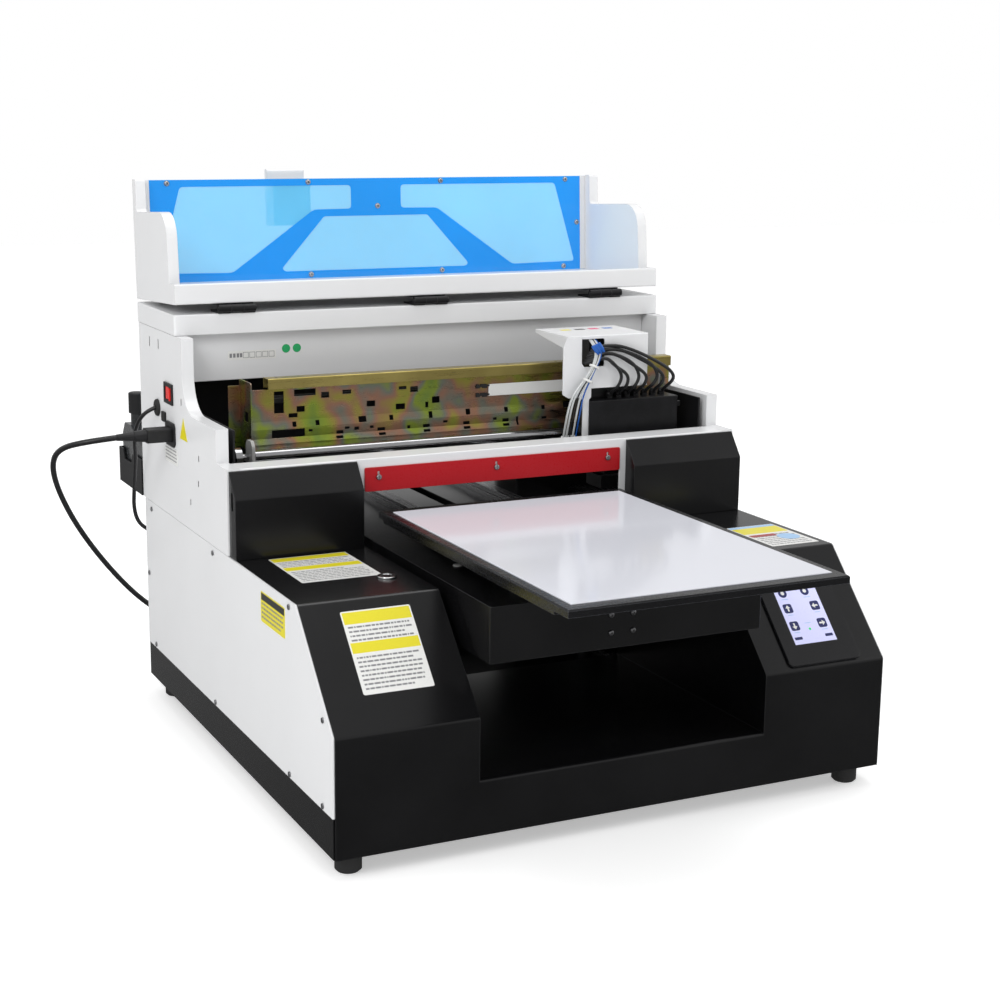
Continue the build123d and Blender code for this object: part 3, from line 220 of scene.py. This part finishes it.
M["tube_blue"] = surface("blue_hose", (0.015, 0.11, 0.45), 0.25, vary=0.1, grain=800, edge=0)
M["tube_clear"] = surface("clear_hose", (0.6, 0.62, 0.62), 0.15, coat=0.4, vary=0.08, grain=500, edge=0)
M["nozzle"] = surface("nozzle_plate_steel", (0.5, 0.5, 0.52), 0.22, metal=1, vary=0.1, grain=700, edge=0.0003)
M["sticker_red"] = flat("sticker_dull_red", (0.35, 0.03, 0.03), 0.35)
# flat near-black: painted shade in screw recesses, socket holes and behind the wall slots; also the colour of the
# ribbon clip
M["painted_shade_and_clip_black"] = flat("recess_painted_shade_and_clip_black", (0.01, 0.01, 0.01), 0.6)

# yellow zinc plating: olive gold that drifts to green and violet
m, nt, bsdf = new_mat("plated_frame")
put(bsdf, metal=1.0)
big = noise(nt, 21, 2, 0.45, (1, 1, 0.8))
c1 = ramp(nt, big.outputs["Fac"], [
    (0.28, (0.14, 0.24, 0.07)), (0.38, (0.27, 0.34, 0.05)), (0.45, (0.34, 0.28, 0.07)),
    (0.51, (0.34, 0.18, 0.12)), (0.58, (0.20, 0.21, 0.17)), (0.65, (0.26, 0.33, 0.05)), (0.80, (0.12, 0.23, 0.09)),
])
nt.links.new(c1.outputs["Color"], bsdf.inputs["Base Color"])
fine = noise(nt, 260, 4, 0.6, (0.15, 1, 1))
nt.links.new(span(nt, fine.outputs["Fac"], 0.22, 0.42), bsdf.inputs["Roughness"])
bump = nt.nodes.new("ShaderNodeBump")
bump.inputs["Strength"].default_value = 0.25
bump.inputs["Distance"].default_value = 0.0001
bev = nt.nodes.new("ShaderNodeBevel"); bev.samples = 4; bev.inputs["Radius"].default_value = 0.0006
nt.links.new(fine.outputs["Fac"], bump.inputs["Height"])
nt.links.new(bev.outputs["Normal"], bump.inputs["Normal"])
nt.links.new(bump.outputs["Normal"], bsdf.inputs["Normal"])
M["plated"] = m
M["golden"] = surface("plated_rail", (0.42, 0.34, 0.11), 0.32, metal=1, vary=0.16, cloud=14, grain=400, stretch=(0.05, 1, 1), grain_depth=0.03, edge=0.0006)


def film(name, color, alpha):
    m, nt, bsdf = new_mat(name)
    put(bsdf, rough=0.06, alpha=alpha, coat=0.4, coat_rough=0.03)
    n = noise(nt, 7, 3, 0.5)
    c = ramp(nt, n.outputs["Fac"], [(0.3, tuple(x * 0.93 for x in color)), (0.7, tuple(min(1, x * 1.06) for x in color))])
    nt.links.new(c.outputs["Color"], bsdf.inputs["Base Color"])
    # painted glow: the sheet gives off a little light in its own colour
    nt.links.new(c.outputs["Color"], bsdf.inputs["Emission Color"])
    bsdf.inputs["Emission Strength"].default_value = 0.14
    bump = nt.nodes.new("ShaderNodeBump")
    bump.inputs["Strength"].default_value = 0.05
    bump.inputs["Distance"].default_value = 0.001
    nt.links.new(n.outputs["Fac"], bump.inputs["Height"])
    nt.links.new(bump.outputs["Normal"], bsdf.inputs["Normal"])
    return m


M["window"] = film("blue_window_sheet", (0.14, 0.60, 0.92), 0.60)
M["window_border"] = film("blue_window_border", (0.004, 0.29, 0.82), 0.88)

FINISH = dict(
    base_tray="black", feet="rubber", front_cover="black", side_panels="white", rear_panels="white",
    upper_side_walls="white", top_cover="white", interior_panel="white", front_beam="white",
    red_guard_bar="red", cover_screws="screw", shoulder_covers="black", chassis="black_satin",
    carriage_frame="plated", carriage_rail="golden", feed_roller="chrome_dark", roller_bearings="grey_plastic",
    carriage_motor="black_satin", carriage_drive_pulley="alu", carriage_belt="rubber", carriage_cover="white",
    carriage_body="plastic", damper_block="damper", print_head="nozzle", uv_lamp="black_alu",
    carriage_hoses="cord", capping_station="plastic", table_box="black", table_rails="steel",
    lift_frame="alu", lift_guides="steel", lift_motors="black_satin", lift_screw_left="steel",
    lift_screw_right="steel", platen_frame="gunmetal", platen_plate="plate", platen_carriage="alu",
    lid_shell="white", lid_window="window", lid_handle="handle_white", hinge_leaves="black_satin",
    lid_hinge_leaves="black_satin", touchscreen="plastic_gloss", touchscreen_display="lavender",
    start_button_ring="chrome", start_button="chrome", switch_frame="plastic", power_rocker="rocker",
    mains_inlet="plastic", cable_grommets="rubber", ink_rack="black_satin", ink_bottles="bottle",
    bottle_caps="plastic", power_supply="alu", main_board="board", lead_connector="plastic",
    mains_lead="cord", mains_lead_coil="cord", mains_plug="plastic", link_cable="cord",
)
for node, obj in NODES.items():
    for s in obj.material_slots:
        s.material = M[FINISH[node]]


# ---------------------------------------------------------------- cords
def spline_curve(name, points, diameter, material, body):
    data = bpy.data.curves.new(name, "CURVE")
    data.dimensions = "3D"
    data.bevel_depth = diameter / 2
    data.bevel_resolution = 5
    data.resolution_u = 8
    data.use_fill_caps = True
    sp = data.splines.new("NURBS")
    sp.points.add(len(points) - 1)
    for p, co in zip(sp.points, points):
        p.co = (*co, 1)
    sp.order_u = 3
    sp.use_endpoint_u = True
    data.materials.append(M[material])
    obj = bpy.data.objects.new(name, data)
    bpy.context.scene.collection.objects.link(obj)
    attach(obj, body)
    return obj


LEAD_D, COIL_R, COIL_X, COIL_Y, TURNS = 7.0, 39.0, -165.0, 760.0, 3
COIL_TOP = LEAD_D / 2 + 0.2 + TURNS * LEAD_D
lead = [
    (-397, 534, 361), (-437, 537, 358), (-458, 573, 345), (-455, 628, 316), (-435, 690, 270),
    (-400, 745, 208), (-352, 785, 140), (-300, 806, 80), (-248, 810, 43), (-203, 803, 29),
]
STEPS = 16
for i in range(TURNS * STEPS + 1):
    turn = 2 * math.pi * i / STEPS
    r = COIL_R / math.cos(math.pi / STEPS) ** 0.5 if 0 < i < TURNS * STEPS else COIL_R
    lead.append((COIL_X + r * math.sin(turn), COIL_Y + r * math.cos(turn), COIL_TOP - LEAD_D * i / STEPS))
mains = spline_curve("mains_lead_cable", [P(*p) for p in lead], 0.007, "cord", "machine")
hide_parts("mains_lead", "mains_lead_coil")

link = [
    (-333.5, 589, 385), (-346, 592, 380), (-354, 603, 363), (-353, 619, 341), (-348, 634, 320),
    (-345, 650, 296), (-343, 666, 268), (-340, 682, 240), (-331, 696, 217), (-314, 703, 203),
    (-302, 691, 200), (-300, 670, 200),
]
link_obj = spline_curve("link_cable_run", [P(*p) for p in link], 0.005, "cord", "machine")
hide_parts("link_cable")


# ---------------------------------------------------------------- mesh helpers
def finish_mesh(bm, name, mats, body, smooth=False):
    me = bpy.data.meshes.new(name)
    bm.to_mesh(me)
    bm.free()
    for mm in mats:
        me.materials.append(M[mm])
    if smooth:
        for p in me.polygons:
            p.use_smooth = True
    obj = bpy.data.objects.new(name, me)
    bpy.context.scene.collection.objects.link(obj)
    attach(obj, body)
    return obj


def rounded(w, h, r, n=5):
    pts = []
    r = min(r, w / 2 - 1e-6, h / 2 - 1e-6)
    for cx, cy, a0 in ((w - r, r, -90), (w - r, h - r, 0), (r, h - r, 90), (r, r, 180)):
        for i in range(n + 1):
            a = math.radians(a0 + 90 * i / n)
            pts.append((cx + r * math.cos(a), cy + r * math.sin(a)))
    return pts


def slab(bm, outline, origin, ux, uy, un, z0, z1, mat=0):
    """A prism over a 2-D outline; ux, uy, un are unit vectors; all numbers in metres."""
    low = [bm.verts.new(origin + ux * x + uy * y + un * z0) for x, y in outline]
    high = [bm.verts.new(origin + ux * x + uy * y + un * z1) for x, y in outline]
    faces = [bm.faces.new(high), bm.faces.new(list(reversed(low)))]
    n = len(outline)
    for i in range(n):
        faces.append(bm.faces.new((low[i], low[(i + 1) % n], high[(i + 1) % n], high[i])))
    for f in faces:
        f.material_index = mat
    return faces


def rect(x0, y0, x1, y1):
    return [(x0, y0), (x1, y0), (x1, y1), (x0, y1)]


def lathe(bm, origin, axis, profile, seg=28, mat=0):
    """Turned shape; profile is (radius, height) in metres from the bottom up."""
    axis = axis.normalized()
    side = axis.orthogonal().normalized()
    other = axis.cross(side)
    rings = []
    for r, h in profile:
        rings.append([
            bm.verts.new(origin + axis * h + (side * math.cos(2 * math.pi * i / seg) + other * math.sin(2 * math.pi * i / seg)) * max(r, 1e-6))
            for i in range(seg)
        ])
    for a, b in zip(rings, rings[1:]):
        for i in range(seg):
            f = bm.faces.new((a[i], a[(i + 1) % seg], b[(i + 1) % seg], b[i]))
            f.material_index = mat
            f.smooth = True
    f = bm.faces.new(rings[-1]); f.material_index = mat
    f = bm.faces.new(list(reversed(rings[0]))); f.material_index = mat


def screw(bm, origin, axis, r, h, mat=0, dark=1):
    """Pan-head screw; its cross recess is drawn as two dark raised bars, painted shade."""
    lathe(bm, origin, axis, [(r, 0), (r, h * 0.35), (r * 0.86, h * 0.78), (r * 0.55, h * 0.96), (0.0, h)], 24, mat)
    axis = axis.normalized()
    side = axis.orthogonal().normalized()
    other = axis.cross(side)
    for a, b in ((side, other), (other, side)):
        slab(bm, rect(-r * 0.5, -r * 0.1, r * 0.5, r * 0.1), origin, a, b, axis, h * 0.9, h * 1.03, dark)


X, Y, Z = Vector((1, 0, 0)), Vector((0, 1, 0)), Vector((0, 0, 1))
rnd = random.Random(7)


def label(name, origin, ux, uy, w, h, body="machine", header=0.0, bands=(), rows=10, margin=4.0, split=None, base="label_white", bar="label_yellow", cols=None):
    """A blank notice: a rounded sheet with colour bands and rows of plain short bars. Sizes in mm."""
    un = ux.cross(uy).normalized()
    bm = bmesh.new()
    k = 0.001
    slab(bm, [(a * k, b * k) for a, b in rounded(w, h, 2.0)], origin, ux, uy, un, 0.00002, 0.00022, 0)
    top = h
    if header:
        slab(bm, [(a * k, b * k) for a, b in rect(1.5, h - header, w - 1.5, h - 1.5)], origin, ux, uy, un, 0.0002, 0.00027, 1)
        top = h - header - 1
    for y0, y1 in bands:
        slab(bm, [(a * k, b * k) for a, b in rect(1.5, y0, w - 1.5, y1)], origin, ux, uy, un, 0.0002, 0.00027, 1)
    pitch = (top - margin) / rows
    for i in range(rows):
        y0 = margin + pitch * i + pitch * 0.28
        y1 = y0 + pitch * 0.4
        if any(a - pitch * 0.4 < y0 < b + pitch * 0.1 for a, b in bands):
            continue
        x = margin
        end = w - margin - (rnd.random() * w * 0.25 if i % 3 == 0 else rnd.random() * 3)
        while x < end - 1.2:
            word = min(1.2 + rnd.random() * 5.5, end - x)
            slab(bm, [(a * k, b * k) for a, b in rect(x, y0, x + word, y1)], origin, ux, uy, un, 0.0002, 0.00027, 2)
            x += word + 1.0
    return finish_mesh(bm, name, [base, bar, "ink_grey"], body)


S = Vector((0, 0.68820, 0.72553))      # up the slope
SLOPE0 = P(0, 0, 149.3)
SN = X.cross(S)

label("deck_notice", P(-294, 180, 258.1), X, Y, 91, 109, header=16, bands=((52, 66),), rows=14)
label("slope_notice", SLOPE0 + X * -0.286 + S * 0.042, X, S, 77, 94, header=15, bands=((46, 58),), rows=15)
label("right_deck_notice", P(256, 118, 258.1), X, Y, 65, 97, header=4, bands=((60, 87),), rows=12)
bm = bmesh.new()
o = P(256, 118, 258.1)
slab(bm, [(p / 1000, q / 1000) for p, q in rect(1.5, 88, 63.5, 95.5)], o, X, Y, Z, 0.00027, 0.00032, 0)
slab(bm, [(p / 1000, q / 1000) for p, q in rect(3, 45, 38, 54)], o, X, Y, Z, 0.00027, 0.00032, 1)
lathe(bm, P(256 + 47, 118 + 36, 258.1), Z, [(0.0135, 0.00027), (0.0135, 0.00033), (0.0130, 0.00034)], 36, 0)
finish_mesh(bm, "right_deck_print", ["ink_blue", "sticker_red"], "machine")
label("side_notice", P(-330.0, 209, 214), -Y, Z, 75, 33, base="label_yellow", bar="label_black", header=9, rows=4, margin=3)
bm = bmesh.new()
slab(bm, [(0.0, 0.0), (0.030, 0.0), (0.015, 0.026)], P(-330.0, 497, 362), -Y, Z, -X, 0.00003, 0.0002, 0)
finish_mesh(bm, "wall_triangle", ["label_yellow"], "machine")
# painted shade: dark sheets behind the slots in both walls stand in for the shade inside the hollow walls
bm = bmesh.new()
for y, z, half in ((621, 463, 6), (582, 464, 6), (424, 350, 3.5), (427, 320, 3.5), (460, 292, 3.5), (490, 406, 4)):
    w = 2.05 / 1000
    h = (half - 0.05) / 1000
    for side in (-1, 1):
        slab(bm, [(-w, -h), (w, -h), (w, h), (-w, h)], P(side * 329.2, y, z), Y * side, Z, X * side, -0.00012, 0.00018, 0)
finish_mesh(bm, "slot_painted_shade", ["painted_shade_and_clip_black"], "machine")
label("wall_data_plate", P(-330.0, 562, 325), -Y, Z, 53, 19, rows=4, margin=2.5)

# interior panel: two green discs and a small plate with empty boxes
bm = bmesh.new()
for x in (-187, -173):
    lathe(bm, P(x, 522, 459), -Y, [(0.0053, 0.00003), (0.0053, 0.0002), (0.0050, 0.0003)], 32, 0)
finish_mesh(bm, "green_discs", ["sticker_green"], "machine")
bm = bmesh.new()
o = P(-261, 522, 448)
slab(bm, [(a / 1000, b / 1000) for a, b in rounded(61, 11, 1)], o, X, Z, -Y, 0.00003, 0.0002, 0)
for i in range(5):
    x0 = 19 + 8.2 * i
    for a, b, c, d in ((x0, 2, x0 + 7, 2.5), (x0, 8.5, x0 + 7, 9), (x0, 2, x0 + 0.5, 9), (x0 + 6.5, 2, x0 + 7, 9)):
        slab(bm, [(p / 1000, q / 1000) for p, q in rect(a, b, c, d)], o, X, Z, -Y, 0.0002, 0.00026, 1)
for x0 in (2, 6.5, 11, 15):
    slab(bm, [(p / 1000, q / 1000) for p, q in rect(x0, 3, x0 + 3, 8)], o, X, Z, -Y, 0.0002, 0.00026, 1)
finish_mesh(bm, "interior_plate", ["label_white", "ink_grey"], "machine")

# ---------------------------------------------------------------- display
bm = bmesh.new()
# screen corner: X 221.5, 103 up the slope; its face stands 2.8 mm over the slope
def on_screen(u, v):
    return ((221.5 + u) / 1000, (103 - v) / 1000)


def plate_at(u, v, w, h, r, z0, z1, mat):
    slab(bm, [((221.5 + u - w / 2 + a) / 1000, (103 - v - h / 2 + b) / 1000) for a, b in rounded(w, h, r)], SLOPE0, X, S, SN, z0, z1, mat)


for u, v in ((10.6, 9.7), (40.3, 9.7)):
    plate_at(u, v, 11, 11, 5.4, 0.0028, 0.00286, 1)
    plate_at(u, v, 4.6, 4.6, 2.2, 0.00286, 0.0029, 3)
for u, v, du, dv in ((9.7, 29, 0, -1), (45.8, 29, -1, 0), (8.9, 51, 0, 1), (45.6, 51, 1, 0)):
    plate_at(u, v, 11.5, 11.5, 2.4, 0.0028, 0.00286, 1)
    if du:
        slab(bm, [on_screen(u + p * du, v + q) for p, q in ((-3.6, 1), (-3.6, -1), (0.6, -1), (0.6, 1))][::(1 if du > 0 else -1)], SLOPE0, X, S, SN, 0.00286, 0.0029, 3)
        tip = [(u + du * 4.2, v), (u + du * 0.4, v - 3.2), (u + du * 0.4, v + 3.2)]
    else:
        slab(bm, [on_screen(u + q, v + p * dv) for p, q in ((-3.6, 1), (-3.6, -1), (0.6, -1), (0.6, 1))], SLOPE0, X, S, SN, 0.00286, 0.0029, 3)
        tip = [(u, v + dv * 4.2), (u - 3.2, v + dv * 0.4), (u + 3.2, v + dv * 0.4)]
    slab(bm, [on_screen(*p) for p in tip], SLOPE0, X, S, SN, 0.00286, 0.00291, 3)
for u, v, w in ((10.6, 17.4, 9), (40.3, 17.4, 9), (9.7, 37.3, 7), (45.8, 37.3, 7), (8.9, 59.2, 8), (45.6, 59.2, 8), (27, 49, 8)):
    plate_at(u, v, w, 0.7, 0.3, 0.0028, 0.00284, 4)
for u in (7.5, 48):
    plate_at(u, 66.5, 10, 3.4, 0.4, 0.0028, 0.00286, 1)
plate_at(26.8, 56.6, 3.2, 3.2, 1.6, 0.0028, 0.00286, 2)
finish_mesh(bm, "display_icons", ["lavender", "navy", "green_dot", "label_white", "ink_blue"], "machine")

# ---------------------------------------------------------------- lid window border and screws
lean = math.radians(3)
LA = Vector((0, math.cos(lean), -math.sin(lean)))
LB = Vector((0, math.sin(lean), math.cos(lean)))
HINGE = P(0, 508, 512.4)


def curve_plate(name, outer, holes, origin, ux, uy, thickness, material, body):
    """Flat sheet with holes, from 2-D outlines in mm."""
    data = bpy.data.curves.new(name, "CURVE")
    data.dimensions = "2D"
    data.fill_mode = "BOTH"
    data.extrude = thickness / 2
    for loop in [outer] + holes:
        sp = data.splines.new("POLY")
        sp.points.add(len(loop) - 1)
        for p, (a, b) in zip(sp.points, loop):
            p.co = (a / 1000, b / 1000, 0, 1)
        sp.use_cyclic_u = True
    tmp = bpy.data.objects.new(name + "_c", data)
    bpy.context.scene.collection.objects.link(tmp)
    bpy.context.view_layer.update()
    me = bpy.data.meshes.new_from_object(tmp.evaluated_get(bpy.context.evaluated_depsgraph_get()))
    bpy.data.objects.remove(tmp)
    un = ux.cross(uy)
    mat = Matrix((
        (ux.x, uy.x, un.x, origin.x), (ux.y, uy.y, un.y, origin.y), (ux.z, uy.z, un.z, origin.z), (0, 0, 0, 1),
    ))
    me.transform(mat)
    me.materials.clear()
    me.materials.append(M[material])
    obj = bpy.data.objects.new(name, me)
    bpy.context.scene.collection.objects.link(obj)
    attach(obj, body)
    return obj


def smooth_loop(points, r=4, n=4):
    """Rounds the corners of a polygon."""
    out = []
    k = len(points)
    for i in range(k):
        a, b, c = (Vector((*points[j % k], 0)) for j in (i - 1, i, i + 1))
        d0, d1 = (a - b).normalized(), (c - b).normalized()
        p0, p1 = b + d0 * r, b + d1 * r
        for t in range(n + 1):
            u = t / n
            q = p0 * (1 - u) ** 2 + b * 2 * u * (1 - u) + p1 * u * u
            out.append((q.x, q.y))
    return out


WIN = HINGE + LA * 0.17195
right_pane = [(35.5, 144), (267.5, 144), (298, 36), (201, 34.5), (88, 113), (35.5, 113.5)]
left_pane = [(-x, b) for x, b in reversed(right_pane)]
curve_plate(
    "window_border", [(-307, 24.6), (307, 24.6), (307, 152.6), (-307, 152.6)],
    [smooth_loop(right_pane, 5), smooth_loop(left_pane, 5), smooth_loop([(-74, 104), (74, 104), (134, 38), (130, 34), (-130, 34), (-134, 38)], 3)],
    WIN, X, LB, 0.0004, "window_border", "lid",
)
# white flanges that cover the window's ends, inside the cheeks
bm = bmesh.new()
for x0 in (-314.9, 307):
    slab(bm, [(p / 1000, q / 1000) for p, q in rect(x0, 24.3, x0 + 7.9, 152.9)], HINGE + LA * 0.172, X, LB, -LA, 0.0, 0.0012, 0)
finish_mesh(bm, "lid_side_flanges", ["white"], "lid")
bm = bmesh.new()
for x, b in (
    (-95, 148.5), (94, 148.5), (284, 148.5), (-94, 29.2), (94.5, 29.2), (281, 29.2), (2, 116.5), (302, 89.4), (-302, 89.4), (-284, 148.5), (-281, 29.2),
):
    lathe(bm, HINGE + X * (x / 1000) + LA * 0.1722 + LB * (b / 1000), -LA, [(0.0036, 0), (0.0036, 0.0006), (0.0033, 0.0008)], 24, 2)
    screw(bm, HINGE + X * (x / 1000) + LA * 0.1715 + LB * (b / 1000), -LA, 0.0030, 0.0018)
finish_mesh(bm, "window_fixings", ["steel", "painted_shade_and_clip_black", "screw"], "lid")

# rubber bumpers that carry the open lid
bm = bmesh.new()
for x in (-300, 300):
    lathe(bm, P(x, 660, 506.3), Z, [(0.0055, 0), (0.0055, 0.0016), (0.0046, 0.0026), (0.002, 0.0029)], 24)
finish_mesh(bm, "lid_bumpers", ["rubber"], "machine")

# ---------------------------------------------------------------- table details
bm = bmesh.new()
for x, z in ((-23, 239.5), (3, 239.5), (-23, 220.4), (3, 220.4)):
    screw(bm, P(x, 1.0, z), -Y, 0.0031, 0.002)
for i in range(11):
    for x in (-70, 70):
        lathe(bm, P(x, 25 + 60 * i, 272.4), Z, [(0.0026, 0), (0.0026, 0.0022), (0.0022, 0.0025)], 18)
        # the dark hexagon in each head is painted shade of its socket
        lathe(bm, P(x, 25 + 60 * i, 272.4), Z, [(0.0013, 0), (0.0013, 0.00262)], 6, 1)
finish_mesh(bm, "table_fixings", ["screw", "painted_shade_and_clip_black"], "lift")
bm = bmesh.new()
lathe(bm, P(-121, 165, 263.2), Z, [(0.0052, 0), (0.0052, 0.0008), (0.0047, 0.0011)], 28)
finish_mesh(bm, "table_disc", ["label_white"], "lift")

# ---------------------------------------------------------------- carriage dressing
bm = bmesh.new()
for i, (x0, c) in enumerate(((150, 0), (170, 1), (190, 2), (210, 3))):
    slab(bm, [(a / 1000, b / 1000) for a, b in rounded(13, 9, 1)], P(x0, 438, 475), X, Y, Z, 0.00003, 0.0002, c)
finish_mesh(bm, "carriage_stickers", ["label_yellow", "label_black", "sticker_magenta", "sticker_blue"], "carriage")


def soft_tube(name, points, d, material, body):
    data = bpy.data.curves.new(name, "CURVE")
    data.dimensions = "3D"
    data.bevel_depth = d / 2000
    data.bevel_resolution = 4
    data.resolution_u = 6
    data.use_fill_caps = True
    sp = data.splines.new("NURBS")
    sp.points.add(len(points) - 1)
    for p, co in zip(sp.points, points):
        p.co = (*P(*co), 1)
    sp.order_u = 3
    sp.use_endpoint_u = True
    data.materials.append(M[material])
    tmp = bpy.data.objects.new(name + "_c", data)
    bpy.context.scene.collection.objects.link(tmp)
    bpy.context.view_layer.update()
    me = bpy.data.meshes.new_from_object(tmp.evaluated_get(bpy.context.evaluated_depsgraph_get()))
    bpy.data.objects.remove(tmp)
    for p in me.polygons:
        p.use_smooth = True
    obj = bpy.data.objects.new(name, me)
    bpy.context.scene.collection.objects.link(obj)
    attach(obj, body)
    return obj


first = None
for i in range(7):
    xe = 193 + 12.5 * i
    sag = (0, -7, 3, -4, 5, -2, 1)[i]
    t = soft_tube(
        f"ink_tube_{i}",
        [(150 + 2.2 * i, 384, 440 + 3.2 * i), (158 + 2.6 * i, 376 - 1.3 * (i % 3), 444 + 3.2 * i),
         (172 + 5 * i, 369 + 2.0 * (i % 3), 449 + 2.0 * i + sag * 0.4), (xe - 12 + sag, 366 + 2.0 * (i % 2), 444 + sag * 0.7 - 1.5 * i),
         (xe + 5 + sag * 0.5, 368 + 1.5 * (i % 3), 427 - i), (xe + 3, 374, 411), (xe, 386, 403), (xe, 392, 397)],
        4.2, "cord", "carriage",
    )
    first = first or t
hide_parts("carriage_hoses")
for i, (xe, c, d, sx) in enumerate(((125.5, "tube_clear", 2.8, 0), (129.5, "tube_clear", 2.8, 2), (134, "cord", 1.8, 4), (138.5, "tube_clear", 2.6, 6), (143, "tube_blue", 1.9, 8))):
    soft_tube(
        f"lamp_hose_{i}",
        [(158 + sx, 383, 470), (160 + sx, 374, 463), (161 + sx, 370, 452), (153 + sx * 0.6, 369, 432), (xe + 4 - sx * 0.3, 371, 404), (xe, 375, 384), (xe, 382, 362), (xe, 388, 340)],
        d, c, "carriage",
    )
bm = bmesh.new()
for xe in (125.5, 129.5, 134, 138.5, 143):
    lathe(bm, P(xe, 388, 338), Z, [(0.0024, 0), (0.0024, 0.005), (0.0017, 0.006), (0.0022, 0.010), (0.0015, 0.013)], 18)
for i in range(7):
    lathe(bm, P(193 + 12.5 * i, 392, 397.4), Z, [(0.0042, 0), (0.0042, 0.003), (0.0028, 0.004), (0.0028, 0.006)], 18, 1)
finish_mesh(bm, "hose_fittings", ["tube_clear", "plastic"], "carriage")

bm = bmesh.new()
d = (P(166, 368, 452) - P(158, 371, 464)).normalized()
for k in range(3):
    lathe(bm, P(156 + 3.2 * k, 370.5 - k, 464 + 1.5 * k), d, [(0.0022, 0), (0.0026, 0.001), (0.0026, 0.009), (0.0018, 0.010), (0.0018, 0.013)], 18, 0)
for z, x in ((437, 157.5), (420, 148.5)):
    lathe(bm, P(x, 369.3, z), Vector((0.45, 0, 1)), [(0.0062, 0), (0.0066, 0.0006), (0.0066, 0.0022), (0.0062, 0.0028)], 24, 1)
finish_mesh(bm, "loom_couplings", ["tube_blue", "label_white"], "carriage")

# white ribbon cable in the rail channel and up to the carriage
soft = bmesh.new()
outline = rounded(128, 14.5, 0.5)
slab(soft, [(a / 1000, b / 1000) for a, b in outline], P(45, 433.2, 399.5), X, Z, -Y, 0, 0.0005, 0)
for k in range(13):
    slab(soft, [(a / 1000, b / 1000) for a, b in rect(1, 1 + k, 127, 1.25 + k)], P(45, 433.2, 399.8), X, Z, -Y, 0.0005, 0.00053, 1)
# the notched clip that holds its end
for z in (398.6, 409.6):
    slab(soft, [(a / 1000, b / 1000) for a, b in [(0, 0), (5, 0), (5, 1.4), (9, 1.4), (9, 0), (15, 0), (15, 2), (18, 2), (18, 4), (14, 4), (14, 5), (6, 5), (6, 3.6), (4, 3.6), (4, 5), (0, 5)]],
         P(28, 433.9, z), X, Z, -Y, 0, 0.0016, 2)
finish_mesh(soft, "ribbon_cable", ["white_cable", "label_white", "painted_shade_and_clip_black"], "machine")
bm = bmesh.new()
for x in (-230, -80, 73):
    screw(bm, P(x, 437, 436.3), Z, 0.0034, 0.0008)
finish_mesh(bm, "rail_screws", ["screw", "painted_shade_and_clip_black"], "machine")

# cable clip on the left wall
bm = bmesh.new()
slab(bm, [(a / 1000, b / 1000) for a, b in rounded(15, 12, 2)], P(-330, 569, 372), -Y, Z, -X, 0.0, 0.0022, 0)
finish_mesh(bm, "cable_clip", ["plastic"], "machine")

# ---------------------------------------------------------------- stage
me = bpy.data.meshes.new("floor")
me.from_pydata([(-8, -8, 0), (8, -8, 0), (8, 8, 0), (-8, 8, 0)], [], [(0, 1, 2, 3)])
floor = bpy.data.objects.new("floor", me)
bpy.context.scene.collection.objects.link(floor)
fm, nt, bsdf = new_mat("floor_pale")
bsdf.inputs["Base Color"].default_value = (0.93, 0.93, 0.93, 1)
put(bsdf, rough=0.6)
bsdf.inputs["Emission Color"].default_value = (1, 1, 1, 1)
bsdf.inputs["Emission Strength"].default_value = 0.42
me.materials.append(fm)
floor.visible_glossy = False

world = bpy.data.worlds.new("studio")
bpy.context.scene.world = world
world.use_nodes = True
wn = world.node_tree
wn.nodes["Background"].inputs["Color"].default_value = (1, 1, 1, 1)
wn.nodes["Background"].inputs["Strength"].default_value = 0.62
seen = wn.nodes.new("ShaderNodeBackground")
seen.inputs["Color"].default_value = (1, 1, 1, 1)
seen.inputs["Strength"].default_value = 1.0
# the light from below the horizon is weaker, so that upright black faces darken towards the floor
dirn = wn.nodes.new("ShaderNodeTexCoord")
part = wn.nodes.new("ShaderNodeSeparateXYZ")
wn.links.new(dirn.outputs["Generated"], part.inputs["Vector"])
fade = wn.nodes.new("ShaderNodeMapRange")
fade.inputs["From Min"].default_value = -0.45
fade.inputs["From Max"].default_value = 0.25
fade.inputs["To Min"].default_value = 0.10
fade.inputs["To Max"].default_value = 0.64
wn.links.new(part.outputs["Z"], fade.inputs["Value"])
wn.links.new(fade.outputs["Result"], wn.nodes["Background"].inputs["Strength"])
path = wn.nodes.new("ShaderNodeLightPath")
both = wn.nodes.new("ShaderNodeMixShader")
wn.links.new(path.outputs["Is Camera Ray"], both.inputs["Fac"])
wn.links.new(wn.nodes["Background"].outputs["Background"], both.inputs[1])
wn.links.new(seen.outputs["Background"], both.inputs[2])
wn.links.new(both.outputs["Shader"], wn.nodes["World Output"].inputs["Surface"])


def softbox(name, at, target, size, power):
    data = bpy.data.lights.new(name, "AREA")
    data.shape = "RECTANGLE"
    data.size, data.size_y = size
    data.energy = power
    obj = bpy.data.objects.new(name, data)
    bpy.context.scene.collection.objects.link(obj)
    obj.location = at
    obj.rotation_euler = (Vector(target) - Vector(at)).to_track_quat("-Z", "Y").to_euler()


softbox("key", (-2.0, -1.5, 2.1), (0, 0, 0.3), (1.4, 1.2), 30)
softbox("top", (0.3, 0.3, 2.7), (0, 0, 0.3), (1.8, 1.8), 27)
softbox("right_fill", (2.4, -1.2, 1.2), (0, 0, 0.3), (0.9, 1.6), 9)

bpy.context.scene.view_settings.view_transform = "Standard"
bpy.context.view_layer.update()
